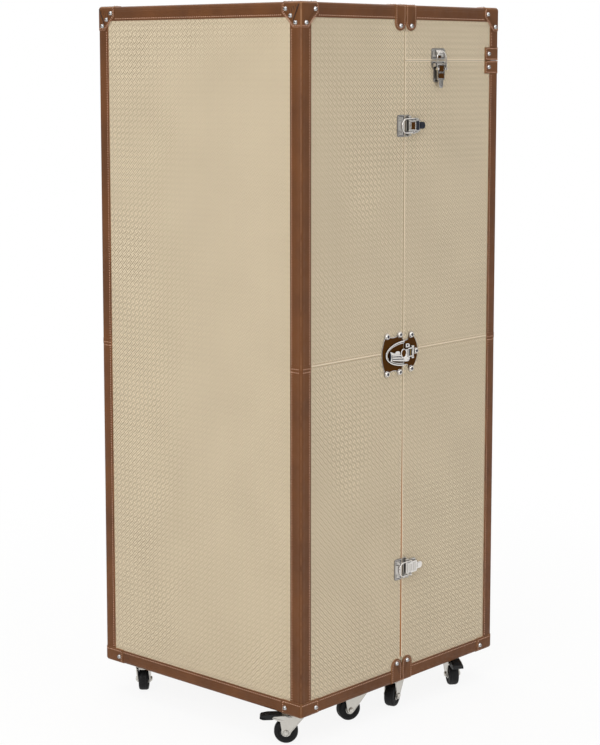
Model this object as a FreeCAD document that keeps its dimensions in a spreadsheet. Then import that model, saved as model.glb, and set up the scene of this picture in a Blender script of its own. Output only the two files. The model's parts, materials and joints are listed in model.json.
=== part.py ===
import FreeCAD, Part
import math
import os
import re

import Sketcher
from FreeCAD import Placement, Rotation, Vector

# Wardrobe trunk: two half cases hinged at the back, a lift-up lid on the right half, drawers in the left
# half, a sliding garment rail in the right half, eight casters, two seam latches, a lid latch and a lock.
# Frame: millimetres, +Z up, floor at Z 0, seam plane at X 0, the lock and latches on the front at -Y.

SIZES = {
    # case
    "case_height": 1450,
    "case_width": 590,
    "half_depth": 324,
    "seam_gap": 2.4,
    "floor_clearance": 70,
    "lid_height": 114,
    "lid_gap": 1,
    # walls, from the leather inwards
    "leather_thickness": 2,
    "cap_step": 1,
    "cover_thickness": 1.2,
    "panel_thickness": 7,
    "lining_thickness": 1,
    "edge_round": 6,
    "rim_depth": 20,
    "tongue_thickness": 2.5,
    "tongue_reach": 8,
    "tongue_clearance": 1,
    # leather
    "binding_width": 30,
    "cap_leg": 50,
    "cap_diagonal": 66,
    "foot_cap_leg": 54,
    "foot_cap_height": 31,
    "strap_width": 33,
    "strap_length": 53,
    "strap_return": 45,
    "strap_foot_return": 22,
    "side_strap_height": 28,
    "side_strap_length": 48,
    # rivets
    "rivet_head_radius": 4.5,
    "rivet_head_height": 2.4,
    "rivet_shank_radius": 1.6,
    "rivet_hole_clearance": 0.05,
    "rivet_edge_margin": 14,
    "rivet_strap_margin": 10,
    "rivet_foot_inset": 44,
    "rivet_side_inset": 36,
    # hinges
    "hinge_length": 70,
    "hinge_leaf_width": 40,
    "hinge_leaf_thickness": 2,
    "hinge_rise": 7,
    "knuckle_radius": 5,
    "knuckle_clearance": 0.4,
    "knuckle_web": 6,
    "hinge_pin_radius": 2,
    "pin_clearance": 0.05,
    "case_hinge_spread": 480,
    "lid_hinge_spread": 180,
    # latches
    "latch_height": 46,
    "latch_waist": 32,
    "latch_spread": 475,
    "lid_latch_inset": 110,
    "catch_length": 24,
    "base_length": 46,
    "base_shoulder": 13,
    "plate_thickness": 1.5,
    "plate_gap": 1.5,
    "hook_inset": 10.5,
    "hook_thickness": 3,
    "hook_width": 20,
    "lever_pivot_inset": 10,
    "lever_rise": 5,
    "lever_barrel_radius": 3.5,
    "lever_width": 24,
    "lever_head": 11,
    "lever_reach": 32,
    "lever_lift": 3.5,
    "lever_thickness": 2.5,
    "tab_reach": 19,
    "tab_width": 14,
    "latch_pin_radius": 1.5,
    "ear_inset": 18,
    "ear_thickness": 2,
    "ear_radius": 4,
    "loop_pivot_inset": 8,
    "loop_pivot_lift": 4,
    "loop_bar": 2.5,
    "loop_inner_width": 28,
    "loop_eye_radius": 3,
    "loop_clearance": 0.3,
    # lock
    "lock_height": 790,
    "lock_left_radius": 72,
    "lock_left_half_height": 39,
    "lock_right_radius": 47,
    "lock_right_half_height": 34,
    "lobe_radius": 7,
    "lobe_rise": 40,
    "lobe_outer_inset": 56,
    "lobe_inner_inset": 14,
    "ring_major": 64,
    "ring_minor": 27,
    "ring_width": 5,
    "ring_height": 4,
    "hasp_pivot_inset": 24,
    "hasp_rise": 4.5,
    "hasp_width": 19,
    "hasp_thickness": 3,
    "hasp_reach": 68,
    "hasp_barrel_radius": 3.5,
    "hasp_ear_thickness": 3,
    "hasp_ear_gap": 0.5,
    "hasp_boss_radius": 9,
    "hasp_boss_height": 3,
    # drawers and their cabinet
    "cabinet_thickness": 6,
    "cabinet_height": 1105.2,
    "drawer_floor_gap": 8,
    "drawer_side_gap": 1,
    "drawer_length": 280,
    "drawer_setback": 5,
    "drawer_front_thickness": 10,
    "drawer_side_thickness": 8,
    "drawer_bottom_thickness": 4,
    "drawer_rest_gap": 0.3,
    "drawer_head_gap": 3,
    "runner_height": 10,
    "runner_width": 14,
    "knob_radius": 11,
    "knob_neck_radius": 5,
    "knob_neck_length": 6,
    "knob_head_length": 9,
    "knob_spread": 130,
    # garment rail
    "rail_inset": 46,
    "rail_channel_width": 24,
    "rail_channel_height": 20,
    "rail_channel_wall": 2,
    "rail_slot": 10,
    "rail_clearance": 0.3,
    "rail_drop": 24,
    "rail_end_inset": 26,
    "rail_stop_thickness": 3,
    "bracket_width": 60,
    "bracket_height": 54,
    "bracket_thickness": 3,
    # casters
    "caster_end_inset": 38,
    "caster_spacing": 195,
    "caster_front_inset": 48,
    "caster_back_inset": 80,
    "caster_plate_size": 46,
    "caster_plate_thickness": 3,
    "race_radius": 17,
    "race_height": 2.6,
    "swivel_clearance": 0.3,
    "cup_height": 3.8,
    "kingpin_radius": 4,
    "kingpin_head_radius": 6.5,
    "kingpin_head_height": 2.5,
    "wheel_radius": 25,
    "wheel_width": 22,
    "wheel_shoulder": 4,
    "trail": 21,
    "axle_radius": 3,
    "fork_thickness": 2.5,
    "wheel_side_gap": 1.5,
    "crown_thickness": 3,
    "fork_overhang": 13,
    "fork_toe": 7,
    "pedal_reach": 56,
    "pedal_width": 22,
    "pedal_thickness": 6,
}

CASE_HINGES = (-1, 0, 1)
SEAM_LATCHES = {"upper": 1, "lower": -1}
DRAWERS = (1, 2, 3, 4)
# Each caster: its half (-1 left, 1 right), spacings from that half's left end, front or back, the way its
# wheel trails in degrees from +X, and whether it has a brake pedal.
CASTERS = {
    1: (-1, 0, "front", 132, True),
    2: (-1, 1, "front", 155, False),
    3: (1, 0, "front", 198, False),
    4: (1, 1, "front", 232, True),
    5: (-1, 0, "back", 42, True),
    6: (-1, 1, "back", 75, False),
    7: (1, 0, "back", 100, False),
    8: (1, 1, "back", 30, True),
}

doc = FreeCAD.newDocument("WardrobeTrunk")
sheet = doc.addObject("Spreadsheet::Sheet", "Sizes")
for row, (alias, number) in enumerate(SIZES.items(), start=1):
    sheet.set(f"A{row}", alias)
    sheet.set(f"B{row}", str(number))
    sheet.setAlias(f"B{row}", alias)
doc.recompute()

# Places worked out from the sizes, as expressions. Insets are counted inwards from the leather's face.
SEAM = "(seam_gap / 2)"
OUTER_X = "(half_depth + seam_gap / 2)"
OUTER_Y = "(case_width / 2)"
BOTTOM = "floor_clearance"
TOP = "(floor_clearance + case_height)"
CUT = "(floor_clearance + case_height - lid_height)"
BODY_TOP = "(floor_clearance + case_height - lid_height - lid_gap / 2)"
LID_BOTTOM = "(floor_clearance + case_height - lid_height + lid_gap / 2)"
COVER = "leather_thickness"
BOARD = "(leather_thickness + cover_thickness)"
INSIDE = "(leather_thickness + cover_thickness + panel_thickness)"
LINED = "(leather_thickness + cover_thickness + panel_thickness + lining_thickness)"
RIM_INSIDE = f"({LINED} + tongue_clearance)"
MOUTH = f"({RIM_INSIDE} + tongue_thickness)"
MIDDLE = "(floor_clearance + case_height / 2)"
FACE = f"(-{OUTER_Y} + {COVER})"

nodes = []


# ---- drawing helpers ------------------------------------------------------------------------------------


def bound(expression):
    """Names the sheet before each of its aliases, so that the text can be set as an expression."""
    named = lambda word: f"Sizes.{word[0]}" if word[0] in SIZES else word[0]
    return re.sub(r"[a-z_]+", named, str(expression))


def size(alias):
    """One size from the sheet, for shapes that Part's own functions make."""
    return float(sheet.get(alias))


def place(item, x=0, y=0, z=0, turn=None):
    """Puts an object at a bound place, turned by a fixed rotation."""
    item.Placement = Placement(Vector(), turn or Rotation())
    for axis, text in (("x", x), ("y", y), ("z", z)):
        item.setExpression(f".Placement.Base.{axis}", bound(text))
    return item


def box(x, y, z):
    """A box between a low and a high place on each axis."""
    item = doc.addObject("Part::Box", "Box")
    for edge, (low, high) in (("Length", x), ("Width", y), ("Height", z)):
        item.setExpression(edge, bound(f"({high}) - ({low})"))
    return place(item, x[0], y[0], z[0])


ALONG = {"x": Rotation(Vector(0, 1, 0), 90), "y": Rotation(Vector(1, 0, 0), -90), "z": Rotation()}


def rod(axis, start, length, radius):
    """A cylinder that starts at a point and runs along one axis."""
    item = doc.addObject("Part::Cylinder", "Rod")
    item.setExpression("Radius", bound(radius))
    item.setExpression("Height", bound(length))
    return place(item, *start, turn=ALONG[axis])


def fuse(*pieces):
    item = doc.addObject("Part::MultiFuse", "Fuse")
    item.Shapes = list(pieces)
    item.Refine = True
    return item


def cut(base, *tools):
    item = base
    for tool in tools:
        piece = doc.addObject("Part::Cut", "Cut")
        piece.Base = item
        piece.Tool = tool
        item = piece
    return item


def common(base, tool):
    item = doc.addObject("Part::Common", "Common")
    item.Base = base
    item.Tool = tool
    return item


def bundle(*pieces):
    item = doc.addObject("Part::Compound", "Bundle")
    item.Links = list(pieces)
    return item


def node(name, *pieces):
    """Declares a sub-part: one object, or several separate solids that share a node."""
    item = pieces[0] if len(pieces) == 1 else bundle(*pieces)
    item.Label = name
    nodes.append(item)
    return item


def mirrored(low, high):
    """The same span on the other side of zero."""
    return (f"-({high})", f"-({low})")


def span(side, near, far):
    """Low and high X between two distances from the seam plane, on one side of it."""
    return (near, far) if side > 0 else mirrored(near, far)


def both(reach):
    """A span that reaches as far to each side of zero."""
    return (f"-({reach})", reach)


def across(inset):
    """The case's width, less an inset at the front and at the back."""
    return both(f"{OUTER_Y} - {inset}")


def plane_of(body, role):
    return [feature for feature in body.Origin.OriginFeatures if feature.Role == role][0]


def outline(body, role, points):
    """A closed sketch of straight lines whose corners are bound to places, on one of the body's planes."""
    sketch = body.newObject("Sketcher::SketchObject", "Outline")
    sketch.AttachmentSupport = [(plane_of(body, role), "")]
    sketch.MapMode = "FlatFace"
    count = len(points)
    for index in range(count):
        here, after = (2 * math.pi * step / count for step in (index, index + 1))
        ends = [Vector(10 * math.cos(turn), 10 * math.sin(turn)) for turn in (here, after)]
        sketch.addGeometry(Part.LineSegment(*ends))
    for index in range(count):
        sketch.addConstraint(Sketcher.Constraint("Coincident", index, 2, (index + 1) % count, 1))
    for index, point in enumerate(points):
        for letter, text in zip("XY", point):
            number = sketch.addConstraint(Sketcher.Constraint(f"Distance{letter}", -1, 1, index, 1, 1.0))
            sketch.setExpression(f"Constraints[{number}]", bound(text))
    return sketch


def pad(name, role, points, length, midplane=False):
    """A body padded from a straight-sided outline."""
    body = doc.addObject("PartDesign::Body", name)
    profile = outline(body, role, points)
    feature = body.newObject("PartDesign::Pad", "Pad")
    feature.Profile = profile
    feature.Midplane = midplane
    feature.setExpression("Length", bound(length))
    return body


def revolve(name, role, points):
    """A body turned from a half profile about its sketch's vertical axis."""
    body = doc.addObject("PartDesign::Body", name)
    profile = outline(body, role, points)
    feature = body.newObject("PartDesign::Revolution", "Revolution")
    feature.Profile = profile
    feature.ReferenceAxis = (profile, ["V_Axis"])
    feature.Angle = 360
    return body


def rectangle(wide, high):
    return [("0", "0"), (wide, "0"), (wide, high), ("0", high)]


# ---- the two half cases ---------------------------------------------------------------------------------


def block(side, inset, radius):
    """One half's outer form at an inset from the leather's face, rounded except at the seam."""
    length = f"half_depth - {inset}"
    outline = rectangle(length, f"case_width - 2 * {inset}")
    body = pad("Block", "XY_Plane", outline, f"case_height - 2 * {inset}")
    left_end = SEAM if side > 0 else f"-{OUTER_X} + {inset}"
    doc.recompute()
    solid = body.Tip
    seam_end = 0.0 if side > 0 else solid.Shape.BoundBox.XMax
    edges = [
        f"Edge{number}"
        for number, edge in enumerate(solid.Shape.Edges, start=1)
        if abs(edge.CenterOfMass.x - seam_end) > 1.0
    ]
    fillet = body.newObject("PartDesign::Fillet", "Fillet")
    fillet.Base = (solid, edges)
    fillet.setExpression("Radius", bound(radius))
    body.Tip = fillet
    return place(body, left_end, f"-{OUTER_Y} + {inset}", f"{BOTTOM} + {inset}")


class Half:
    """The nested outer forms that one half case is cut from."""

    def __init__(self, side):
        self.side = side
        self.board = block(side, BOARD, f"(edge_round - {BOARD})")
        self.cover = block(side, COVER, f"(edge_round - {COVER})")
        self.leather = block(side, "0", "edge_round")
        self.cap = block(side, "(-cap_step)", "(edge_round + cap_step)")
        self.cover_shell = cut(self.cover, self.board)
        self.leather_shell = cut(self.leather, self.cover)
        self.cap_shell = cut(self.cap, self.cover)

    def x(self, near, far):
        return span(self.side, near, far)

    def outer_x(self, reach, beyond="cap_step"):
        """A span along X that reaches inwards from the broad face."""
        return self.x(f"{OUTER_X} - {reach}", f"{OUTER_X} + {beyond}")


def from_side(end, reach, beyond="cap_step"):
    """A span along Y that reaches inwards from the front (-1) or the back (1)."""
    outwards = (f"{OUTER_Y} - {reach}", f"{OUTER_Y} + {beyond}")
    return outwards if end > 0 else mirrored(*outwards)


def from_top(reach):
    return (f"{TOP} - {reach}", f"{TOP} + cap_step")


def from_bottom(reach):
    return (f"{BOTTOM} - cap_step", f"{BOTTOM} + {reach}")


def slab(low, high):
    """All of the case between two heights."""
    return box(both(f"{OUTER_X} + cap_step"), both(f"{OUTER_Y} + cap_step"), (low, high))


WHOLE_HEIGHT = (f"{BOTTOM} + {BOARD}", f"{TOP} - {BOARD}")
BODY_HEIGHT = (f"{BOTTOM} + {BOARD}", BODY_TOP)
LID_HEIGHT = (LID_BOTTOM, f"{TOP} - {BOARD}")


def boards(half, near, height, with_bottom, with_top):
    """The plywood boards of a case, butt jointed: the broad board laps the others."""
    outer, inner = f"{OUTER_Y} - {BOARD}", f"{OUTER_Y} - {INSIDE}"
    deep = half.x(near, f"{OUTER_X} - {INSIDE}")
    pieces = [
        box(half.x(f"{OUTER_X} - {INSIDE}", f"{OUTER_X} - {BOARD}"), across(BOARD), height),
        box(deep, mirrored(inner, outer), height),
        box(deep, (inner, outer), height),
    ]
    if with_bottom:
        pieces.append(box(deep, across(INSIDE), (f"{BOTTOM} + {BOARD}", f"{BOTTOM} + {INSIDE}")))
    if with_top:
        pieces.append(box(deep, across(INSIDE), (f"{TOP} - {INSIDE}", f"{TOP} - {BOARD}")))
    return [common(half.board, piece) for piece in pieces]


def rim(half, inner, top, with_top):
    """The wooden bars round a case's mouth, between the cover and an inner inset."""
    deep = half.x(SEAM, f"{SEAM} + rim_depth")
    upright = (f"{OUTER_Y} - {inner}", f"{OUTER_Y} - {BOARD}")
    height = (f"{BOTTOM} + {BOARD}", top)
    bars = [box(deep, upright, height), box(deep, mirrored(*upright), height)]
    bars.append(box(deep, across(inner), (f"{BOTTOM} + {BOARD}", f"{BOTTOM} + {inner}")))
    if with_top:
        bars.append(box(deep, across(inner), (f"{TOP} - {inner}", f"{TOP} - {BOARD}")))
    return [common(half.board, bar) for bar in bars]


def tongue():
    """The strips inside the left mouth that reach into the right half when the trunk is shut."""
    deep = (f"-{SEAM} - rim_depth", "tongue_reach")
    upright = (f"{OUTER_Y} - {MOUTH}", f"{OUTER_Y} - {RIM_INSIDE}")
    height = (f"{BOTTOM} + {RIM_INSIDE}", f"{TOP} - {RIM_INSIDE}")
    return [
        box(deep, upright, height),
        box(deep, mirrored(*upright), height),
        box(deep, across(MOUTH), (f"{BOTTOM} + {RIM_INSIDE}", f"{BOTTOM} + {MOUTH}")),
        box(deep, across(MOUTH), (f"{TOP} - {MOUTH}", f"{TOP} - {RIM_INSIDE}")),
    ]


def lining(half, outer_top, inner_top):
    """A thin skin on the boards' inner faces, open at the mouth."""
    mouth = f"{SEAM} + rim_depth"
    outer = box(half.x(mouth, f"{OUTER_X} - {INSIDE}"), across(INSIDE), (f"{BOTTOM} + {INSIDE}", outer_top))
    inner = box(half.x(mouth, f"{OUTER_X} - {LINED}"), across(LINED), (f"{BOTTOM} + {LINED}", inner_top))
    return cut(outer, inner)


# ---- leather --------------------------------------------------------------------------------------------


def top_cap_region(half, end):
    """The room of a top corner cap: a cube at the corner less what lies beyond its diagonal edge."""
    cube = box(half.outer_x("cap_leg"), from_side(end, "cap_leg"), from_top("cap_leg"))
    corner = Vector(
        half.side * (size("half_depth") + size("seam_gap") / 2 + size("cap_step")),
        end * (size("case_width") / 2 + size("cap_step")),
        size("floor_clearance") + size("case_height") + size("cap_step"),
    )
    reach = size("cap_diagonal") + 3 * size("cap_step")
    tips = [
        corner,
        corner - Vector(half.side * reach, 0, 0),
        corner - Vector(0, end * reach, 0),
        corner - Vector(0, 0, reach),
    ]
    faces = [
        Part.Face(Part.makePolygon([tips[a], tips[b], tips[c], tips[a]]))
        for a, b, c in ((0, 1, 2), (0, 2, 3), (0, 3, 1), (1, 2, 3))
    ]
    pyramid = doc.addObject("Part::Feature", "Pyramid")
    pyramid.Shape = Part.Solid(Part.Shell(faces))
    return common(cube, pyramid)


def foot_cap_region(half, end):
    """The room of a bottom corner cap, clear of the caster plates under the case."""
    band = box(half.outer_x("foot_cap_leg"), from_side(end, "foot_cap_leg"), from_bottom("foot_cap_height"))
    inwards = ("foot_cap_leg", "(-rivet_edge_margin)")
    flap = box(half.outer_x(*inwards), from_side(end, *inwards), from_bottom("0"))
    return cut(band, flap)


def strap_region(half, end, at_top):
    """The room of a strap at the seam: a rounded tongue on the face and a flap over the edge."""
    wide = half.x(SEAM, f"{SEAM} + strap_width")
    centre = f"{SEAM} + strap_width / 2" if half.side > 0 else f"-{SEAM} - strap_width / 2"
    straight = "(strap_length - strap_width / 2)"
    vertical = from_top(straight) if at_top else from_bottom(straight)
    middle = f"{TOP} - {straight}" if at_top else f"{BOTTOM} + {straight}"
    face = box(wide, from_side(end, "edge_round"), vertical)
    start = from_side(end, "edge_round")[0]
    tip = rod("y", (centre, start, middle), "(edge_round + cap_step)", "strap_width / 2")
    back = "strap_return" if at_top else "strap_foot_return"
    flap_height = from_top("edge_round") if at_top else from_bottom("edge_round")
    flap = box(wide, from_side(end, back), flap_height)
    return fuse(face, tip, flap)


def side_strap_region(half, end, low, high):
    """The room of a strap round a broad edge at the lid's cut."""
    front = box(half.outer_x("side_strap_length"), from_side(end, "edge_round"), (low, high))
    broad = box(half.outer_x("edge_round"), from_side(end, "side_strap_length"), (low, high))
    return fuse(front, broad)


def bindings(half, regions):
    """Leather along every outer edge, stopped at the caps and straps."""
    inner_x = half.x(f"-{SEAM}", f"{OUTER_X} - binding_width")
    inner_z = (f"{BOTTOM} + binding_width", f"{TOP} - binding_width")
    beyond = "(-2 * cap_step)"
    through_x = box(half.x(f"-{SEAM}", f"{OUTER_X} - {beyond}"), across("binding_width"), inner_z)
    through_y = box(inner_x, across(beyond), inner_z)
    through_z = box(inner_x, across("binding_width"), (f"{BOTTOM} + {beyond}", f"{TOP} - {beyond}"))
    return cut(half.leather_shell, through_x, through_y, through_z, *regions)


# ---- rivets ---------------------------------------------------------------------------------------------


def rivet_shape():
    """A domed rivet at the origin, its head towards +Z and its shank's end at the board's inner face."""
    rise, rim_radius = size("rivet_head_height"), size("rivet_head_radius")
    ball = (rim_radius**2 + rise**2) / (2 * rise)
    dome = Part.makeSphere(ball, Vector(0, 0, rise - ball))
    corner = Vector(-2 * rim_radius, -2 * rim_radius, 0)
    above = Part.makeBox(4 * rim_radius, 4 * rim_radius, 2 * rise, corner)
    head = dome.common(above)
    shank = Part.makeCylinder(size("rivet_shank_radius"), rivet_depth(), Vector(0, 0, -rivet_depth()))
    return head.fuse(shank).removeSplitter()


def rivet_depth():
    layers = ("cap_step", "leather_thickness", "cover_thickness", "panel_thickness")
    return sum(size(alias) for alias in layers)


FACING = {
    "x": Rotation(Vector(0, 1, 0), 90),
    "-x": Rotation(Vector(0, 1, 0), -90),
    "y": Rotation(Vector(1, 0, 0), -90),
    "-y": Rotation(Vector(1, 0, 0), 90),
    "z": Rotation(),
}


def rivet_places(side, part):
    """Where the rivets of one half's body or lid go, as (facing, point on the cap leather)."""
    step = size("cap_step")
    broad = side * (size("half_depth") + size("seam_gap") / 2 + step)
    front = size("case_width") / 2 + step
    low = size("floor_clearance")
    high = low + size("case_height")
    cut_level = high - size("lid_height")
    margin, leg = size("rivet_edge_margin"), size("cap_leg")
    strap_x = side * (size("seam_gap") + size("strap_width")) / 2
    strap_tip = size("strap_length") - size("rivet_strap_margin")
    x_face = "x" if side > 0 else "-x"
    found = []
    for end in (-1, 1):
        y_face = "y" if end > 0 else "-y"
        if part != "body":
            near, far = margin, leg - margin / 2 - size("rivet_head_radius") / 2
            middle = (near + far) / 2
            for inwards, down in ((far, near), (middle, middle), (near, far)):
                found.append((x_face, (broad, end * (front - step - inwards), high - down)))
            for inwards, down in ((far, near), (near, far)):
                found.append((y_face, (broad - side * (step + inwards), end * front, high - down)))
                top_place = (broad - side * (step + inwards), end * (front - step - down), high + step)
                found.append(("z", top_place))
            found.append((y_face, (strap_x, end * front, high - strap_tip)))
            found.append(("z", (strap_x, end * (front - step - size("strap_return") + margin), high + step)))
        if part != "lid":
            inwards = size("rivet_foot_inset")
            found.append((x_face, (broad, end * (front - step - inwards), low + margin)))
            found.append((y_face, (broad - side * (step + inwards), end * front, low + margin)))
            found.append((y_face, (strap_x, end * front, low + strap_tip)))
        if part != "whole":
            away = (size("lid_gap") + size("side_strap_height")) / 2
            level = cut_level + (away if part == "lid" else -away)
            inwards = size("rivet_side_inset")
            found.append((x_face, (broad, end * (front - step - inwards), level)))
            found.append((y_face, (broad - side * (step + inwards), end * front, level)))
    return found


def copies(name, shape, places):
    """Placed copies of one shape, kept as separate solids."""
    item = doc.addObject("Part::Feature", name)
    placed = []
    for facing, point in places:
        copy = shape.copy()
        copy.Placement = Placement(Vector(*point), FACING[facing])
        placed.append(copy)
    item.Shape = Part.makeCompound(placed)
    return item


def rivet_holes(places):
    radius = size("rivet_shank_radius") + size("rivet_hole_clearance")
    return copies("Holes", Part.makeCylinder(radius, rivet_depth(), Vector(0, 0, -rivet_depth())), places)


def build_case(half, part, name, stops, caps, board_pieces, rim_pieces, limits):
    """Drills and declares the shells of one case or of the lid, and its rivets. Returns its bindings."""
    places = rivet_places(half.side, part)
    holes = rivet_holes(places)
    within = slab(*limits)
    edges = common(bindings(half, stops), within)
    node(f"{name}_panels", *[cut(piece, holes) for piece in board_pieces])
    node(f"{name}_cover", cut(common(half.cover_shell, within), holes))
    node(f"{name}_edge_bindings", edges)
    node(f"{name}_corner_caps", *[cut(common(common(half.cap_shell, cap), within), holes) for cap in caps])
    node(f"{name}_rivets", copies("Rivets", rivet_shape(), places))
    if rim_pieces:
        node(f"{name}_rim", *[cut(piece, holes) for piece in rim_pieces])
    return edges


# ---- hinges ---------------------------------------------------------------------------------------------

KNUCKLES = 5


def hinge_leaf(side, with_pin):
    """A butt hinge's leaf about the local Z axis: its face at Y 0 and its knuckles at the rise."""
    reach = "(hinge_length / 2)"
    plate = box(span(side, "knuckle_web", "hinge_leaf_width"), ("0", "hinge_leaf_thickness"), both(reach))
    pieces = [plate]
    pitch = f"(hinge_length / {KNUCKLES})"
    for index in range(KNUCKLES):
        if (index % 2 == 0) != with_pin:
            continue
        low = f"-{reach} + {index} * {pitch} + knuckle_clearance / 2"
        high = f"-{reach} + {index + 1} * {pitch} - knuckle_clearance / 2"
        pieces.append(box(span(side, "0", "knuckle_web"), ("0", "hinge_rise"), (low, high)))
        pieces.append(rod("z", ("0", "hinge_rise", low), f"{pitch} - knuckle_clearance", "knuckle_radius"))
    leaf = fuse(*pieces)
    start = ("0", "hinge_rise", f"-{reach}")
    if not with_pin:
        return cut(leaf, rod("z", start, "hinge_length", "hinge_pin_radius + pin_clearance"))
    pin = rod("z", start, "hinge_length", "hinge_pin_radius")
    return bundle(cut(leaf, pin), pin)


LID_HINGE_TURN = Rotation(Vector(1, 1, 1), -120)


def case_hinge_leaves(side):
    """The leaves of the hinges between the two halves, on the back."""
    level = "floor_clearance + case_height / 2 + {} * case_hinge_spread"
    return [
        place(hinge_leaf(side, side < 0), "0", f"{OUTER_Y} - {COVER}", level.format(index))
        for index in CASE_HINGES
    ]


def lid_hinge_leaves(on_lid):
    """The leaves of the lid's hinges, on the right half's broad face."""
    side = 1 if on_lid else -1
    x, turn = f"{OUTER_X} - {COVER}", LID_HINGE_TURN
    return [place(hinge_leaf(side, not on_lid), x, f"{end} * lid_hinge_spread", CUT, turn) for end in (-1, 1)]


# ---- draw latches ---------------------------------------------------------------------------------------
# Each is drawn with its seam at X 0, the catch towards -X, the lever towards +X and the case's face at Y 0.

PIVOT_X = "lever_pivot_inset"
PIVOT_Y = "(-plate_thickness - lever_rise)"
LOOP_X = "(lever_pivot_inset + loop_pivot_inset)"
LOOP_Y = f"({PIVOT_Y} - loop_pivot_lift)"
LATCH_TURNS = {"upper": Rotation(), "lower": Rotation(), "lid": Rotation(Vector(0, 1, 0), 90)}


def latch_place(item, tag):
    if tag == "lid":
        return place(item, f"{SEAM} + lid_latch_inset", FACE, CUT, LATCH_TURNS[tag])
    return place(item, "0", FACE, f"{MIDDLE} + {SEAM_LATCHES[tag]} * latch_spread", LATCH_TURNS[tag])


def latch_catch(tag):
    """The plate on the other side of the seam, with the hook that the loop's bar lies over."""
    across_seam = ("-catch_length - plate_gap", "-plate_gap")
    plate = box(across_seam, ("-plate_thickness", "0"), both("latch_height / 2"))
    hook_top = f"{LOOP_Y} + loop_bar / 2 + loop_clearance"
    hook = box(("-hook_inset - hook_thickness", "-hook_inset"), (hook_top, "0"), both("hook_width / 2"))
    return latch_place(fuse(plate, hook), tag)


def latch_base(tag):
    """The plate that carries the lever, between two ears with a pin through them."""
    shoulder = box(("plate_gap", "base_shoulder"), ("-plate_thickness", "0"), both("latch_height / 2"))
    waist = box(("plate_gap", "base_length"), ("-plate_thickness", "0"), both("latch_waist / 2"))
    pieces = [shoulder, waist]
    ear = (f"{PIVOT_X} - ear_radius", f"{PIVOT_X} + ear_radius")
    ear_ends = (("ear_inset", "ear_inset + ear_thickness"), ("-ear_inset - ear_thickness", "-ear_inset"))
    for low, high in ear_ends:
        pieces.append(box(ear, (PIVOT_Y, "0"), (low, high)))
        pieces.append(rod("z", (PIVOT_X, PIVOT_Y, low), "ear_thickness", "ear_radius"))
    pin_start = "-ear_inset - ear_thickness"
    pin_length = "2 * (ear_inset + ear_thickness)"
    pieces.append(rod("z", (PIVOT_X, PIVOT_Y, pin_start), pin_length, "latch_pin_radius"))
    return latch_place(fuse(*pieces), tag)


def latch_lever(tag):
    """The lever with its thumb tab, and the pin that its loop turns on."""
    half = "(lever_width / 2)"
    outer = f"{PIVOT_Y} - lever_lift - lever_thickness"
    face = (outer, f"{PIVOT_Y} - lever_lift")
    end = f"{PIVOT_X} + lever_reach"
    barrel = rod("z", (PIVOT_X, PIVOT_Y, f"-{half}"), "lever_width", "lever_barrel_radius")
    head = box((PIVOT_X, f"{PIVOT_X} + lever_head"), (outer, PIVOT_Y), both(half))
    plate = box((PIVOT_X, end), face, both(half))
    neck = box((end, f"{end} + tab_reach - tab_width / 2"), face, both("tab_width / 2"))
    tip = rod("y", (f"{end} + tab_reach - tab_width / 2", outer, "0"), "lever_thickness", "tab_width / 2")
    loop_side = "-loop_inner_width / 2 - loop_bar"
    pin = rod("z", (LOOP_X, LOOP_Y, loop_side), "loop_inner_width + 2 * loop_bar", "latch_pin_radius")
    bore = rod("z", (PIVOT_X, PIVOT_Y, f"-{half}"), "lever_width", "latch_pin_radius + pin_clearance")
    return latch_place(cut(fuse(barrel, head, plate, neck, tip, pin), bore), tag)


def latch_loop(tag):
    """The wire loop that draws the catch: two arms with eyes on the lever's pin, and a bar past the hook."""
    near = "-hook_inset - hook_thickness - loop_clearance"
    far = f"{near} - loop_bar"
    thick = (f"{LOOP_Y} - loop_bar / 2", f"{LOOP_Y} + loop_bar / 2")
    pieces = [box((far, near), thick, both("loop_inner_width / 2 + loop_bar"))]
    bores = []
    for low in ("loop_inner_width / 2", "-loop_inner_width / 2 - loop_bar"):
        pieces.append(box((far, LOOP_X), thick, (low, f"{low} + loop_bar")))
        pieces.append(rod("z", (LOOP_X, LOOP_Y, low), "loop_bar", "loop_eye_radius"))
        bores.append(rod("z", (LOOP_X, LOOP_Y, low), "loop_bar", "latch_pin_radius + pin_clearance"))
    return latch_place(cut(fuse(*pieces), *bores), tag)


# ---- centre lock ----------------------------------------------------------------------------------------


def lock_place(item):
    return place(item, "0", FACE, "lock_height")


def lock_sheet(side, radius, half_height, lobes):
    """A lock plate: a disc cut level above and below and at the seam, with a lobe round each screw."""
    disc = rod("y", ("0", "-plate_thickness", "0"), "plate_thickness", radius)
    window = box(span(side, "plate_gap", radius), ("-plate_thickness", "0"), both(half_height))
    pieces = [common(disc, window)]
    for x, z in lobes:
        pieces.append(rod("y", (x, "-plate_thickness", z), "plate_thickness", "lobe_radius"))
    return pieces


def ellipse_prism(major, minor, height):
    """An upright prism on an ellipse about the origin."""
    curve = doc.addObject("Part::Ellipse", "Ellipse")
    curve.setExpression("MajorRadius", bound(major))
    curve.setExpression("MinorRadius", bound(minor))
    prism = doc.addObject("Part::Extrusion", "Prism")
    prism.Base = curve
    prism.DirMode = "Custom"
    prism.Dir = Vector(0, 0, 1)
    prism.Solid = True
    prism.setExpression("LengthFwd", bound(height))
    return prism


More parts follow.
